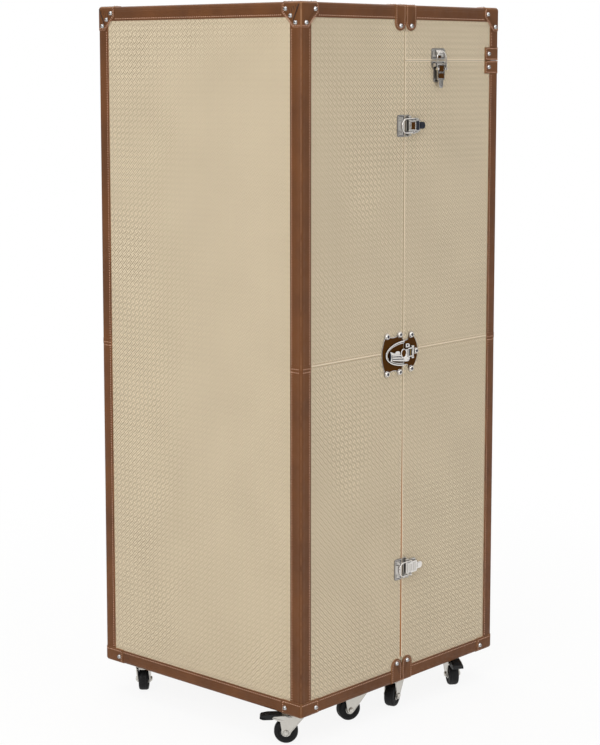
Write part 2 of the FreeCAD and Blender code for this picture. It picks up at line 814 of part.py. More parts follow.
def lock_left():
    """The left lock plate with its raised oval ring, open at the seam."""
    lobes = [(x, z) for x in ("-lobe_outer_inset", "-lobe_inner_inset") for z in ("lobe_rise", "-lobe_rise")]
    tall = "(plate_thickness + ring_height)"
    outer = place(ellipse_prism("ring_major", "ring_minor", tall), turn=FACING["-y"])
    opening = ellipse_prism("ring_major - ring_width", "ring_minor - ring_width", tall)
    inner = place(opening, turn=FACING["-y"])
    window = box(("-ring_major", "-plate_gap"), (f"-{tall}", "0"), both("ring_minor"))
    ring = common(cut(outer, inner), window)
    return lock_place(fuse(*lock_sheet(-1, "lock_left_radius", "lock_left_half_height", lobes), ring))


HASP_X = "hasp_pivot_inset"
HASP_Y = "(-plate_thickness - hasp_rise)"


def lock_right():
    """The right lock plate with the ears and the pin that the hasp turns on."""
    lobes = [
        ("hasp_pivot_inset", "lobe_rise - lobe_radius / 2"),
        ("lock_right_radius - lobe_radius", "0"),
        ("hasp_pivot_inset", "lobe_radius / 2 - lobe_rise"),
    ]
    pieces = lock_sheet(1, "lock_right_radius", "lock_right_half_height", lobes)
    inner = "(hasp_width / 2 + hasp_ear_gap)"
    outer = f"({inner} + hasp_ear_thickness)"
    for low, high in ((inner, outer), (f"-{outer}", f"-{inner}")):
        wide = (f"{HASP_X} - hasp_barrel_radius", f"{HASP_X} + hasp_barrel_radius")
        pieces.append(box(wide, (HASP_Y, "0"), (low, high)))
        pieces.append(rod("z", (HASP_X, HASP_Y, low), "hasp_ear_thickness", "hasp_barrel_radius"))
    pieces.append(rod("z", (HASP_X, HASP_Y, f"-{outer}"), f"2 * {outer}", "latch_pin_radius"))
    return lock_place(fuse(*pieces))


def lock_hasp():
    """The hasp across the seam, with its round boss."""
    half = "(hasp_width / 2)"
    thick = (f"{HASP_Y} - hasp_thickness / 2", f"{HASP_Y} + hasp_thickness / 2")
    barrel = rod("z", (HASP_X, HASP_Y, f"-{half}"), "hasp_width", "hasp_barrel_radius")
    arm = box((f"{HASP_X} - hasp_reach", HASP_X), thick, both(half))
    start = f"{HASP_Y} - hasp_thickness / 2 - hasp_boss_height"
    boss = rod("y", ("0", start, "0"), "hasp_boss_height + hasp_thickness / 2", "hasp_boss_radius")
    bore = rod("z", (HASP_X, HASP_Y, f"-{half}"), "hasp_width", "latch_pin_radius + pin_clearance")
    return lock_place(cut(fuse(barrel, arm, boss), bore))


# ---- drawers --------------------------------------------------------------------------------------------

CHEEK = f"({LINED} + cabinet_thickness)"
SHELF_TOP = f"({BOTTOM} + cabinet_height)"
DRAWER_FRONT = f"({SEAM} + rim_depth + drawer_setback)"
DRAWER_PITCH = f"((cabinet_height - {LINED} - drawer_floor_gap - cabinet_thickness) / {len(DRAWERS)})"


def drawer_zone(number):
    """The height of one drawer's runners, counted from the lowest."""
    return f"({BOTTOM} + {LINED} + drawer_floor_gap + {number - 1} * {DRAWER_PITCH})"


def drawer_cabinet():
    """Two cheeks and a shelf in the left half, and a pair of runners under each drawer."""
    deep = mirrored(f"{SEAM} + rim_depth", f"{OUTER_X} - {LINED}")
    cheek = (f"{OUTER_Y} - {CHEEK}", f"{OUTER_Y} - {LINED}")
    under_shelf = (f"{BOTTOM} + {LINED}", f"{SHELF_TOP} - cabinet_thickness")
    pieces = [box(deep, cheek, under_shelf), box(deep, mirrored(*cheek), under_shelf)]
    pieces.append(box(deep, across(LINED), (f"{SHELF_TOP} - cabinet_thickness", SHELF_TOP)))
    run = mirrored(DRAWER_FRONT, f"{OUTER_X} - {LINED}")
    side = (f"{OUTER_Y} - {CHEEK} - runner_width", f"{OUTER_Y} - {CHEEK}")
    for number in DRAWERS:
        level = (drawer_zone(number), f"{drawer_zone(number)} + runner_height")
        pieces += [box(run, side, level), box(run, mirrored(*side), level)]
    return pieces


def drawer(number):
    """An open box on its runners, with two turned knobs."""
    low = f"({drawer_zone(number)} + runner_height + drawer_rest_gap)"
    high = f"({drawer_zone(number)} + {DRAWER_PITCH} - drawer_head_gap)"
    wide = f"({OUTER_Y} - {CHEEK} - drawer_side_gap)"
    front = f"-{DRAWER_FRONT}"
    back = f"({front} - drawer_length)"
    inner_front = f"{front} - drawer_front_thickness"
    inner = f"{wide} - drawer_side_thickness"
    deep = (back, inner_front)
    floor_run = (f"{back} + drawer_side_thickness", inner_front)
    pieces = [
        box((inner_front, front), both(wide), (low, high)),
        box(deep, (inner, wide), (low, high)),
        box(deep, mirrored(inner, wide), (low, high)),
        box((back, f"{back} + drawer_side_thickness"), both(inner), (low, high)),
        box(floor_run, both(inner), (low, f"{low} + drawer_bottom_thickness")),
    ]
    level = f"({low} + {high}) / 2"
    profile = [
        ("0", "0"),
        ("knob_neck_radius", "0"),
        ("knob_neck_radius", "knob_neck_length"),
        ("knob_radius", "knob_neck_length + knob_head_length / 3"),
        ("knob_radius", "knob_neck_length + knob_head_length * 2 / 3"),
        ("knob_radius * 0.6", "knob_neck_length + knob_head_length"),
        ("0", "knob_neck_length + knob_head_length"),
    ]
    for end in (-1, 1):
        knob = revolve("Knob", "XY_Plane", profile)
        pieces.append(place(knob, front, f"{end} * knob_spread", level, Rotation(Vector(0, 0, 1), -90)))
    return pieces


# ---- garment rail ---------------------------------------------------------------------------------------

RAIL = f"({CUT} - rail_inset)"


def rail_levels(inset):
    """The channel's height, less an inset above and below."""
    reach = f"(rail_channel_height / 2 - ({inset}))"
    return (f"{RAIL} - {reach}", f"{RAIL} + {reach}")


def rail_bracket():
    """A channel that reaches from a plate on the right half's back wall towards the mouth."""
    wall = f"({OUTER_X} - {LINED})"
    plate_face = f"{wall} - bracket_thickness"
    level = f"{RAIL} - bracket_height / 2"
    plate = box((plate_face, wall), both("bracket_width / 2"), (level, f"{level} + bracket_height"))
    run = ("rail_end_inset", plate_face)
    channel = box(run, both("rail_channel_width / 2"), rail_levels("0"))
    hollow = box(run, both("rail_channel_width / 2 - rail_channel_wall"), rail_levels("rail_channel_wall"))
    slot = box(run, both("rail_slot / 2"), (f"{RAIL} - rail_channel_height / 2", RAIL))
    return fuse(plate, cut(channel, hollow, slot))


def garment_rail():
    """The sliding rail: a head inside the channel, a stem through its slot and a stop at the front."""
    run = ("rail_end_inset", f"{OUTER_X} - {LINED} - bracket_thickness - rail_stop_thickness")
    gap = "rail_channel_wall + rail_clearance"
    head = box(run, both(f"rail_channel_width / 2 - ({gap})"), rail_levels(gap))
    low = f"{RAIL} - rail_channel_height / 2 - rail_drop"
    stem = box(run, both("rail_slot / 2 - rail_clearance"), (low, RAIL))
    stop_run = ("rail_end_inset - rail_stop_thickness", "rail_end_inset")
    stop = box(stop_run, both("rail_channel_width / 2"), (low, rail_levels("0")[1]))
    return fuse(head, stem, stop)


# ---- casters --------------------------------------------------------------------------------------------

PLATE_UNDER = f"({BOTTOM} - caster_plate_thickness)"
RACE_UNDER = f"({PLATE_UNDER} - race_height)"
CUP_TOP = f"({RACE_UNDER} - swivel_clearance)"
CROWN_TOP = f"({CUP_TOP} - cup_height)"
CROWN_UNDER = f"({CROWN_TOP} - crown_thickness)"
FORK_INSIDE = "(wheel_width / 2 + wheel_side_gap)"
FORK_OUTSIDE = f"({FORK_INSIDE} + fork_thickness)"


def pivot(number):
    """Where a caster swivels, counted from its half's left end and from the front or the back."""
    side, steps, row, _, _ = CASTERS[number]
    left_end = SEAM if side > 0 else f"-{OUTER_X}"
    y = f"(-{OUTER_Y} + caster_front_inset)" if row == "front" else f"({OUTER_Y} - caster_back_inset)"
    return f"({left_end} + caster_end_inset + {steps} * caster_spacing)", y


def caster_at(item, number):
    """Puts a caster piece at its pivot, turned the way its wheel trails."""
    return place(item, *pivot(number), "0", Rotation(Vector(0, 0, 1), CASTERS[number][3]))


def caster_plate(number, leather):
    """The fixed plate, seated on the cover round the leather, with its race and the fork's kingpin."""
    x, y = pivot(number)
    half = "caster_plate_size / 2"
    wide, deep = (f"{x} - {half}", f"{x} + {half}"), (f"{y} - {half}", f"{y} + {half}")
    plate = box(wide, deep, (PLATE_UNDER, BOTTOM))
    seat = cut(box(wide, deep, (BOTTOM, f"{BOTTOM} + {COVER}")), *leather)
    race = rod("z", (x, y, RACE_UNDER), "race_height", "race_radius")
    head_low = f"({CROWN_UNDER} - swivel_clearance - kingpin_head_height)"
    pin = rod("z", (x, y, head_low), f"{RACE_UNDER} - {head_low}", "kingpin_radius")
    head = rod("z", (x, y, head_low), "kingpin_head_height", "kingpin_head_radius")
    return fuse(plate, seat, race, pin, head)


def caster_plates(side, leather):
    return [caster_plate(number, leather) for number in CASTERS if CASTERS[number][0] == side]


def caster_fork(number):
    """The swivelling cup, crown, cheeks and axle; a braked caster has its pedal against the crown's end."""
    side_view = [
        ("-race_radius + fork_thickness", CROWN_TOP),
        ("-race_radius + fork_thickness", CROWN_UNDER),
        ("trail - fork_toe", "wheel_radius - fork_toe"),
        ("trail + fork_toe", "wheel_radius - fork_toe"),
        ("trail + fork_overhang", CROWN_UNDER),
        ("trail + fork_overhang", CROWN_TOP),
    ]
    yoke = pad("Yoke", "XZ_Plane", side_view, f"2 * {FORK_OUTSIDE}", midplane=True)
    gap = box(("-race_radius", "trail + 2 * fork_overhang"), both(FORK_INSIDE), ("0", CROWN_UNDER))
    cup = rod("z", ("0", "0", CROWN_TOP), "cup_height", "race_radius")
    axle = rod("y", ("trail", f"-{FORK_OUTSIDE}", "wheel_radius"), f"2 * {FORK_OUTSIDE}", "axle_radius")
    bore = rod("z", ("0", "0", CROWN_UNDER), f"{CUP_TOP} - {CROWN_UNDER}", "kingpin_radius + pin_clearance")
    fork = cut(fuse(cut(yoke, gap), cup, axle), bore)
    if not CASTERS[number][4]:
        return caster_at(fork, number)
    start = "(trail + fork_overhang)"
    pedal_view = [
        (start, CROWN_TOP),
        (start, f"{CROWN_TOP} - pedal_thickness"),
        ("trail + pedal_reach * 0.7", f"{CROWN_TOP} - pedal_thickness"),
        ("trail + pedal_reach", f"{CROWN_TOP} - pedal_thickness * 1.5"),
        ("trail + pedal_reach", f"{CROWN_TOP} - pedal_thickness * 0.5"),
        ("trail + pedal_reach * 0.75", CROWN_TOP),
    ]
    pedal = pad("Pedal", "XZ_Plane", pedal_view, "pedal_width", midplane=True)
    return caster_at(bundle(fork, pedal), number)


def caster_wheel(number):
    """A tyred wheel with chamfered shoulders, bored for the axle."""
    half = "(wheel_width / 2)"
    bore = "axle_radius + pin_clearance"
    flat = "wheel_radius - wheel_shoulder"
    profile = [
        (bore, f"-{half}"),
        (flat, f"-{half}"),
        ("wheel_radius", f"-{half} + wheel_shoulder"),
        ("wheel_radius", f"{half} - wheel_shoulder"),
        (flat, half),
        (bore, half),
    ]
    wheel = place(revolve("Wheel", "XY_Plane", profile), "trail", "0", "wheel_radius")
    return caster_at(bundle(wheel), number)


# ---- the trunk ------------------------------------------------------------------------------------------

left, right = Half(-1), Half(1)
LOWEST, HIGHEST = f"{BOTTOM} - cap_step", f"{TOP} + cap_step"


def ends(region, half, *more):
    """The same region at the front and at the back."""
    return [region(half, end, *more) for end in (-1, 1)]


left_top = ends(top_cap_region, left) + ends(strap_region, left, True)
left_foot_caps = ends(foot_cap_region, left)
left_foot = left_foot_caps + ends(strap_region, left, False)
left_edges = build_case(
    left,
    "whole",
    "left",
    left_top + left_foot,
    left_top + left_foot,
    boards(left, f"{SEAM} + rim_depth", WHOLE_HEIGHT, True, True),
    rim(left, RIM_INSIDE, f"{TOP} - {BOARD}", True),
    (LOWEST, HIGHEST),
)
right_foot_caps = ends(foot_cap_region, right)
right_foot = right_foot_caps + ends(strap_region, right, False)
under_cut = ends(side_strap_region, right, f"{BODY_TOP} - side_strap_height", BODY_TOP)
right_edges = build_case(
    right,
    "body",
    "right",
    right_foot + under_cut,
    right_foot + under_cut,
    boards(right, f"{SEAM} + rim_depth", BODY_HEIGHT, True, False),
    rim(right, LINED, BODY_TOP, False),
    (LOWEST, BODY_TOP),
)
lid_top = ends(top_cap_region, right) + ends(strap_region, right, True)
over_cut = ends(side_strap_region, right, LID_BOTTOM, f"{LID_BOTTOM} + side_strap_height")
build_case(
    right,
    "lid",
    "lid",
    lid_top + over_cut,
    lid_top + over_cut,
    boards(right, SEAM, LID_HEIGHT, False, True),
    [],
    (LID_BOTTOM, HIGHEST),
)
node("left_lining", lining(left, f"{TOP} - {INSIDE}", f"{TOP} - {LINED}"))
node("right_lining", lining(right, BODY_TOP, BODY_TOP))
node("tongue_strips", *tongue())
node("left_hinge_leaves", *case_hinge_leaves(-1))
node("right_hinge_leaves", *case_hinge_leaves(1), *lid_hinge_leaves(False))
node("lid_hinge_leaves", *lid_hinge_leaves(True))
node("latch_catches", *[latch_catch(tag) for tag in SEAM_LATCHES])
node("lid_catch", latch_catch("lid"))
node("latch_bases", *[latch_base(tag) for tag in LATCH_TURNS])
for tag in LATCH_TURNS:
    node(f"latch_lever_{tag}", latch_lever(tag))
    node(f"latch_loop_{tag}", latch_loop(tag))
node("lock_plate_left", lock_left())
node("lock_plate_right", lock_right())
node("lock_hasp", lock_hasp())
node("drawer_cabinet", *drawer_cabinet())
for number in DRAWERS:
    node(f"drawer_{number}", *drawer(number))
node("rail_bracket", rail_bracket())
node("garment_rail", garment_rail())
node("left_caster_plates", *caster_plates(-1, [left_edges, *left_foot_caps]))
node("right_caster_plates", *caster_plates(1, [right_edges, *right_foot_caps]))
for number in CASTERS:
    node(f"caster_fork_{number}", caster_fork(number))
    node(f"caster_wheel_{number}", caster_wheel(number))


# ---- checks and export ----------------------------------------------------------------------------------

doc.recompute()
for item in doc.Objects:
    if "Invalid" in item.State or "Error" in item.State:
        raise RuntimeError(f"{item.Name} ({item.Label}) did not compute: {item.State}")
os.makedirs("parts", exist_ok=True)
for item in nodes:
    if item.Shape.isNull() or not item.Shape.isValid():
        raise RuntimeError(f"{item.Label} has no valid shape")
    item.Shape.exportStep(f"parts/{item.Label}.step")
print(len(nodes), "nodes,", sum(len(item.Shape.Solids) for item in nodes), "solids")
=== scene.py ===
import json
import math

import bmesh
import bpy
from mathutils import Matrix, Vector


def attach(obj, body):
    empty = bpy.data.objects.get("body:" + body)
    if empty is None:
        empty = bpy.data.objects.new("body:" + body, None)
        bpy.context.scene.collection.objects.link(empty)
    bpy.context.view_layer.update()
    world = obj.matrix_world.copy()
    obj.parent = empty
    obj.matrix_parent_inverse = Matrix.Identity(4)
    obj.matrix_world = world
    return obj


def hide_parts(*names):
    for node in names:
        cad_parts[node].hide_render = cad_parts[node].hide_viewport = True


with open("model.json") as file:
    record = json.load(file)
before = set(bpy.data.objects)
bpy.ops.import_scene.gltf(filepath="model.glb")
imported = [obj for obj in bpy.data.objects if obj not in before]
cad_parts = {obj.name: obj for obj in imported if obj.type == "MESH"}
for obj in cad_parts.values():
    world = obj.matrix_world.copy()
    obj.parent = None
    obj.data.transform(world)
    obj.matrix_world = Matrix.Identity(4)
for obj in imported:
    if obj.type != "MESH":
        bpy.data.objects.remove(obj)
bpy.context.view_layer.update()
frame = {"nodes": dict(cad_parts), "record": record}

NODES = frame["nodes"]
MM = 0.001

# The trunk's own measures, in millimetres, as the solids have them.
LEATHER_X, LEATHER_Y, LOW, HIGH = 325.2, 295.0, 70.0, 1520.0
COVER_X, COVER_Y = 323.2, 293.0
TALL = HIGH - LOW
CAP = 1.0  # how far caps and straps stand out of the leather
SEAM = 1.2  # half the gap between the two halves
CUT = 1406.0  # the height of the gap below the lid
BINDING = 30.0  # the width of an edge binding
MIDDLE = 795.0  # the height of the covers' own seam
CORNER_LEG, FOOT_LEG, FOOT_HEIGHT = 50, 54, 31  # the corner caps and the foot caps
STRAP_MIDDLE, STRAP_ROUND = 17.7, 13.5  # a seam strap's centre, from the seam, and its stitching's half width
SIDE_STRAP = 28  # the height of a strap beside the lid's cut
LATCHES = {"upper": 1270.0, "lower": 320.0}
LID_LATCH_X = 111.2
LOCK_Z = 790.0
HINGES_Z = (MIDDLE - 480, MIDDLE, MIDDLE + 480)
LID_HINGES_Y = (-180, 180)
DRAWER_PITCH = 270


# ---- closed forms ----


class Form:
    """Points in millimetres and the faces of closed forms, gathered into one mesh."""

    def __init__(self):
        self.points, self.faces = [], []

    def add(self, points, faces, place=None):
        start = len(self.points)
        self.points += [place(*p) for p in points] if place else [tuple(p) for p in points]
        self.faces += [[start + i for i in face] for face in faces]
        return self

    def loft(self, rings, place=None, closed=False):
        """Rings of points joined by faces. Its ends are filled, or joined to each other if it is closed."""
        starts = [sum(len(ring) for ring in rings[:i]) for i in range(len(rings))]
        rows = [range(start, start + len(ring)) for start, ring in zip(starts, rings)]
        faces = [] if closed else [list(row) for row in (rows[0], rows[-1]) if len(row) > 1]
        for a, b in zip(rows, rows[1:] + rows[:closed]):
            count = max(len(a), len(b))
            for i in range(count):
                j = (i + 1) % count
                corners = [a[i % len(a)], a[j % len(a)], b[j % len(b)], b[i % len(b)]]
                faces.append(list(dict.fromkeys(corners)))
        return self.add([point for ring in rings for point in ring], faces, place)

    def prism(self, outline, low, high, place=None):
        """An outline of (u, v) points, from depth low to high."""
        return self.loft([[(u, v, w) for u, v in outline] for w in (low, high)], place)

    def band(self, outer, inner, low, high, place=None):
        """A closed ring between two outlines with the same number of points."""
        rows = ((outer, low), (outer, high), (inner, high), (inner, low))
        return self.loft([[(u, v, w) for u, v in line] for line, w in rows], place, True)

    def lathe(self, profile, place=None, steps=32, ring=False):
        """(radius, height) pairs turned round the w axis. A ring joins its last pair to its first."""
        turns = [2 * math.pi * i / steps for i in range(steps)]
        rings = [
            [(r * math.cos(t), r * math.sin(t), w) for t in turns] if r else [(0, 0, w)] for r, w in profile
        ]
        return self.loft(rings, place, ring)

    def tube(self, path, radius, place=None, steps=10):
        """A round rod along a path of (u, v, w) points."""
        spots = [Vector(p) for p in path]
        turns = [2 * math.pi * k / steps for k in range(steps)]
        rings, side = [], None
        for i, spot in enumerate(spots):
            along = (spots[min(i + 1, len(spots) - 1)] - spots[max(i - 1, 0)]).normalized()
            side = side or along.orthogonal()
            side = (side - along * side.dot(along)).normalized()
            up = along.cross(side)
            rings.append([tuple(spot + radius * (side * math.cos(t) + up * math.sin(t))) for t in turns])
        return self.loft(rings, place)


def arc(u, v, radius, start, end, steps=12, squash=1.0):
    """Points on a circle's arc, or on an ellipse's where squash isn't 1, from start to end in degrees."""
    turns = [math.radians(start + (end - start) * i / steps) for i in range(steps + 1)]
    return [(u + radius * math.cos(t), v + radius * squash * math.sin(t)) for t in turns]


def rounded(corners, radius, steps=5):
    """The polygon with each corner rounded; radius is one number or one for each corner."""
    made = []
    for i, corner in enumerate(corners):
        reach = radius[i] if isinstance(radius, (list, tuple)) else radius
        spot, before, after = Vector(corner), Vector(corners[i - 1]), Vector(corners[(i + 1) % len(corners)])
        if reach <= 0:
            made.append(tuple(spot))
            continue
        one, two = spot + (before - spot).normalized() * reach, spot + (after - spot).normalized() * reach
        for k in range(steps + 1):
            t = k / steps
            made.append(tuple(one * (1 - t) ** 2 + spot * 2 * t * (1 - t) + two * t**2))
    return made


def rectangle(u0, u1, v0, v1, radius=0):
    return rounded([(u0, v0), (u1, v0), (u1, v1), (u0, v1)], radius)


def mirrored(half, radii):
    """A rounded outline from its half at negative v; radii is one number or that half's list."""
    radii = radii if isinstance(radii, list) else [radii] * len(half)
    return rounded(half + [(u, -v) for u, v in reversed(half)], radii + radii[::-1])


def front(z):
    """(u, v, w) on the front cover: u along +X, v up, w out of the face."""
    return lambda u, v, w: (u, -COVER_Y - w, z + v)


def lid_front(u, v, w):
    """The seam latch's own axes, turned to cross the lid's cut."""
    return (LID_LATCH_X + v, -COVER_Y - w, CUT - u)


def within(place, u=0.0, v=0.0, w=0.0, axes="uvw"):
    """Moves a form in a place's axes; axes says which of its own coordinates goes along each."""
    order = ["uvw".index(a) for a in axes]
    return lambda *p: place(u + p[order[0]], v + p[order[1]], w + p[order[2]])


# ---- materials ----


def srgb(*channels):
    """A colour written as 0-255 screen numbers, as the linear numbers that a shader takes."""
    parts = [c / 255 for c in channels]
    return tuple(p / 12.92 if p <= 0.04045 else ((p + 0.055) / 1.055) ** 2.4 for p in parts) + (1.0,)


class Value:
    """A number in a node tree, on which sums are written as usual."""

    def __init__(self, shader, socket):
        self.shader, self.socket = shader, socket

    def math(self, operation, *others):
        return self.shader.math(operation, self, *others)

    def __rsub__(self, other):
        return self.shader.math("SUBTRACT", other, self)

    def __abs__(self):
        return self.math("ABSOLUTE")


for name, operation in (("add", "ADD"), ("sub", "SUBTRACT"), ("mul", "MULTIPLY"), ("truediv", "DIVIDE")):
    setattr(Value, f"__{name}__", lambda self, other, operation=operation: self.math(operation, other))


class Shader:
    """A material with a Principled shader, written as sums of textures."""

    def __init__(self, name, **constants):
        self.material = bpy.data.materials.new(name)
        self.material.use_nodes = True
        self.tree = self.material.node_tree
        self.bsdf = self.tree.nodes["Principled BSDF"]
        for socket, number in constants.items():
            self.bsdf.inputs[socket.replace("_", " ")].default_value = number
        spots = self.node("TexCoord")
        self.spot = spots.outputs["Object"]
        self.x, self.y, self.z = self.split(self.spot)
        self.facing = [abs(n).math("GREATER_THAN", 0.7) for n in self.split(spots.outputs["Normal"])]

    def node(self, kind, inputs=None, **settings):
        made = self.tree.nodes.new("ShaderNode" + kind)
        for key, setting in settings.items():
            setattr(made, key, setting)
        for key, entry in (inputs or {}).items():
            self.put(made.inputs[key], entry)
        return made

    def put(self, socket, entry):
        entry = entry.socket if isinstance(entry, Value) else entry
        if isinstance(entry, bpy.types.NodeSocket):
            self.tree.links.new(entry, socket)
        else:
            socket.default_value = entry

    def math(self, operation, *entries):
        return Value(self, self.node("Math", dict(enumerate(entries)), operation=operation).outputs[0])

    def split(self, vector):
        return [Value(self, s) for s in self.node("SeparateXYZ", {0: vector}).outputs]

    def join(self, x, y, z):
        return self.node("CombineXYZ", {0: x, 1: y, 2: z}).outputs[0]

    def noise(self, scale, spot=None, detail=3.0, stretch=None, rough=0.5):
        spot = self.spot if spot is None else spot
        if stretch:
            spot = self.node("VectorMath", {0: spot, 1: stretch}, operation="MULTIPLY").outputs[0]
        made = self.node("TexNoise", {"Vector": spot, "Scale": scale, "Detail": detail, "Roughness": rough})
        return Value(self, made.outputs[0])

    def cells(self, scale, feature="F1"):
        made = self.node("TexVoronoi", {"Vector": self.spot, "Scale": scale}, feature=feature)
        return Value(self, made.outputs["Distance"])

    def step(self, entry, low, high, start=0.0, end=1.0):
        """entry from low to high as start to end, held at both ends."""
        inputs = {0: entry, 1: low, 2: high, 3: start, 4: end}
        return Value(self, self.node("MapRange", inputs, interpolation_type="SMOOTHSTEP").outputs[0])

    def mix(self, factor, one, two):
        return self.node("Mix", {0: factor, 6: one, 7: two}, data_type="RGBA").outputs[2]

    def bump(self, height, distance, strength):
        return self.node("Bump", {"Height": height, "Distance": distance, "Strength": strength}).outputs[0]

    def finish(self, colour, roughness, normal):
        for socket, entry in (("Base Color", colour), ("Roughness", roughness), ("Normal", normal)):
            self.put(self.bsdf.inputs[socket], entry)
        return self.material

    def flat(self):
        """(u, v) on whichever of the object's three planes the surface lies in."""
        on_x, _, on_z = self.facing
        return self.x + on_x * (self.y - self.x), self.z + on_z * (self.y - self.z)

    def fold_distance(self):
        """How far in from the trunk's nearest outer edge a point of its skin lies, in metres."""
        on_x, on_y, on_z = self.facing
        ends = (
            LEATHER_X * MM - abs(self.x) + on_x,
            LEATHER_Y * MM - abs(self.y) + on_y,
            HIGH * MM - self.z + on_z,
            self.z - LOW * MM + on_z,
        )
        nearest = ends[0]
        for end in ends[1:]:
            nearest = nearest.math("MINIMUM", end)
        return nearest

    def ridge(self, entry, centre, half):
        """1 where entry is at centre, falling to 0 a half width away."""
        return self.step(abs(entry - centre), 0.0, half, 1.0, 0.0)


def woven(name, light, dark, thread, contrast, group=1, slant=True):
    """Cloth whose strands of a width in metres go over and under each other, group by group, with painted
    shade in the gaps between strands, at group borders and in a wave over the tiles as if lit from above.
    """
    s = Shader(name, Sheen_Weight=0.3, Sheen_Roughness=0.6, Specular_IOR_Level=0.2)
    u, v = s.flat()
    if slant:
        u, v = (u + v) * 0.7071, (v - u) * 0.7071
    wander = s.noise(45, detail=2) * (thread * 0.8)
    p, q = (u + wander) / thread, (v + wander) / thread
    block_p, block_q = p / group, q / group
    strand_p, strand_q, bend_p, bend_q = (
        (across.math("FRACT") * math.pi).math("SINE") for across in (p, q, block_p, block_q)
    )
    over = ((block_p.math("FLOOR") + block_q.math("FLOOR")) / 2).math("FRACT").math("GREATER_THAN", 0.25)
    one, two = strand_p * (bend_q * 0.5 + 0.5), strand_q * (bend_p * 0.5 + 0.5)
    height = two + over * (one - two)
    # Painted shade: darker in the gaps between strands.
    gap = s.step(height, 0.05, 0.75, 1.0, 0.0) * (1.6 - over * 0.5)
    # Painted shade at the group borders, and a wave that darkens the tiles as if lit from above.
    edge_p, edge_q = s.step(bend_p, 0.0, 0.62, 1.0, 0.0), s.step(bend_q, 0.0, 0.62, 1.0, 0.0)
    tile_shade = ((block_p + block_q) * math.pi).math("COSINE")
    border = edge_p * 0.18 + edge_q * 0.06 - tile_shade * 0.05
    fibre, patch = s.noise(1500, detail=2), s.noise(9, detail=3)
    shade = gap + border + (1 - over) * 0.12 + (fibre - 0.5) * 0.4 + (patch - 0.5) * 0.3
    colour = s.mix((shade * contrast).math("MAXIMUM", 0.0).math("MINIMUM", 1.0), light, dark)
    rough = s.step(height, 0, 1, 0.90, 0.76)
    return s.finish(colour, rough, s.bump(height + fibre * 0.2, thread * 0.16, 0.6))


def leather(name, dark, base, light, ridges=True):
    """Finished hide: fine grain, faint mottling and pressed lines beside the stitching; painted highlight
    along the fold, broken up by wear, and on the pressed lines, and painted shade in the trough.
    """
    s = Shader(name, Specular_IOR_Level=0.3)
    mottle, worn = s.noise(12, detail=4, rough=0.55), s.noise(70, detail=4)
    grain, pores = s.cells(950), s.noise(2300, detail=2)
    creases = s.cells(330, "DISTANCE_TO_EDGE")
    fold = s.fold_distance()
    colour = s.mix(s.step(mottle, 0.25, 0.75), dark, base)
    # Painted highlight with wear: the colour turns to the light tone towards the fold, in patches.
    edge = s.step(fold, 0.0004, 0.003, 0.75, 0.0) * s.step(worn, 0.25, 0.65)
    height = grain * 0.5 + pores * 0.3 + s.step(creases, 0.0, 0.14) * 0.25
    if ridges:
        outer_line, inner_line, trough_line = 0.0062, 0.0100, 0.0272
        lines = s.ridge(fold, outer_line, 0.0011) + s.ridge(fold, inner_line, 0.0010)
        trough = s.ridge(fold, trough_line, 0.0014)
        height = height + lines * 2.2 - trough * 2.0
        # Painted shade: the trough darkens.
        colour = s.mix(trough * 0.5, colour, dark)
        # Painted highlight on the pressed lines.
        edge = edge + lines * 0.07
    colour = s.mix(edge, colour, light)
    colour = s.mix(s.step(pores, 0.35, 0.65) * 0.18, colour, dark)
    rough = s.step(worn, 0.3, 0.7, 0.42, 0.55) + grain * 0.1
    return s.finish(colour, rough, s.bump(height, 0.00018, 0.7))


def deeper(colour, share):
    return tuple(c * share for c in colour[:3]) + (1.0,)


def metal(name, colour, rough, spread=0.1, mottle=260, brushed=None, grime_and_shade=0.0):
    """Plated metal, finely scratched or brushed along one axis, darkened beside other pieces and in its
    hollows by painted shade with some grime.
    """
    s = Shader(name, Metallic=1.0)
    fine, broad = s.noise(mottle, stretch=brushed, detail=4), s.noise(30, detail=3)
    tint = s.mix(s.step(fine * 0.6 + broad * 0.4, 0.35, 0.68), deeper(colour, 0.86), colour)
    roughness = s.step(fine * 0.5 + broad * 0.5, 0.35, 0.65, rough, rough + spread)
    if grime_and_shade:
        # Painted shade with some grime: ambient occlusion darkens the colour almost to black beside other
        # pieces and in hollows.
        open_air = Value(s, s.node("AmbientOcclusion", {"Distance": grime_and_shade}, samples=8).outputs["AO"])
        tint = s.mix(s.step(open_air, 0.3, 0.86), srgb(38, 34, 33), tint)
    return s.finish(tint, roughness, s.bump(fine, 0.00002, 0.5))


def wood(name, dark, light, upright=False, rough=0.42, coat=0.25):
    """Varnished timber whose grain runs level, or upright, over each face."""
    s = Shader(name, Coat_Weight=coat, Coat_Roughness=0.25, Specular_IOR_Level=0.45)
    u, v = s.flat()
    turn = s.facing[2]
    along, across = (v, u) if upright else (u + turn * (v - u), v + turn * (u - v))
    bands = s.noise(1.6, spot=s.join(along * 2.2, across * 34.0, turn), detail=6, rough=0.62)
    lines = s.noise(9.0, spot=s.join(along * 9.0, across * 34.0, turn), detail=3)
    colour = s.mix(s.step(bands * 0.7 + lines * 0.3, 0.36, 0.64), dark, light)
    return s.finish(colour, s.step(lines, 0.3, 0.7, rough, rough + 0.14), s.bump(lines, 0.00012, 0.5))


def plain(name, colour, rough, fine=1500, contrast=0.3, depth=0.00005, **constants):
    """Rubber, plastic, thread or enamel with a fine speckle and uneven gloss."""
    s = Shader(name, **constants)
    speckle, patch = s.noise(fine, detail=2), s.noise(60, detail=4)
    tint = s.mix(s.step(speckle * 0.5 + patch * 0.5, 0.35, 0.65), deeper(colour, 1 - contrast), colour)
    return s.finish(tint, s.step(patch, 0.3, 0.7, rough, rough + 0.15), s.bump(speckle, depth, 0.6))


def sewing(name, colour):
    return plain(name, colour, 0.75, fine=2600, depth=0.0002, Sheen_Weight=0.3)


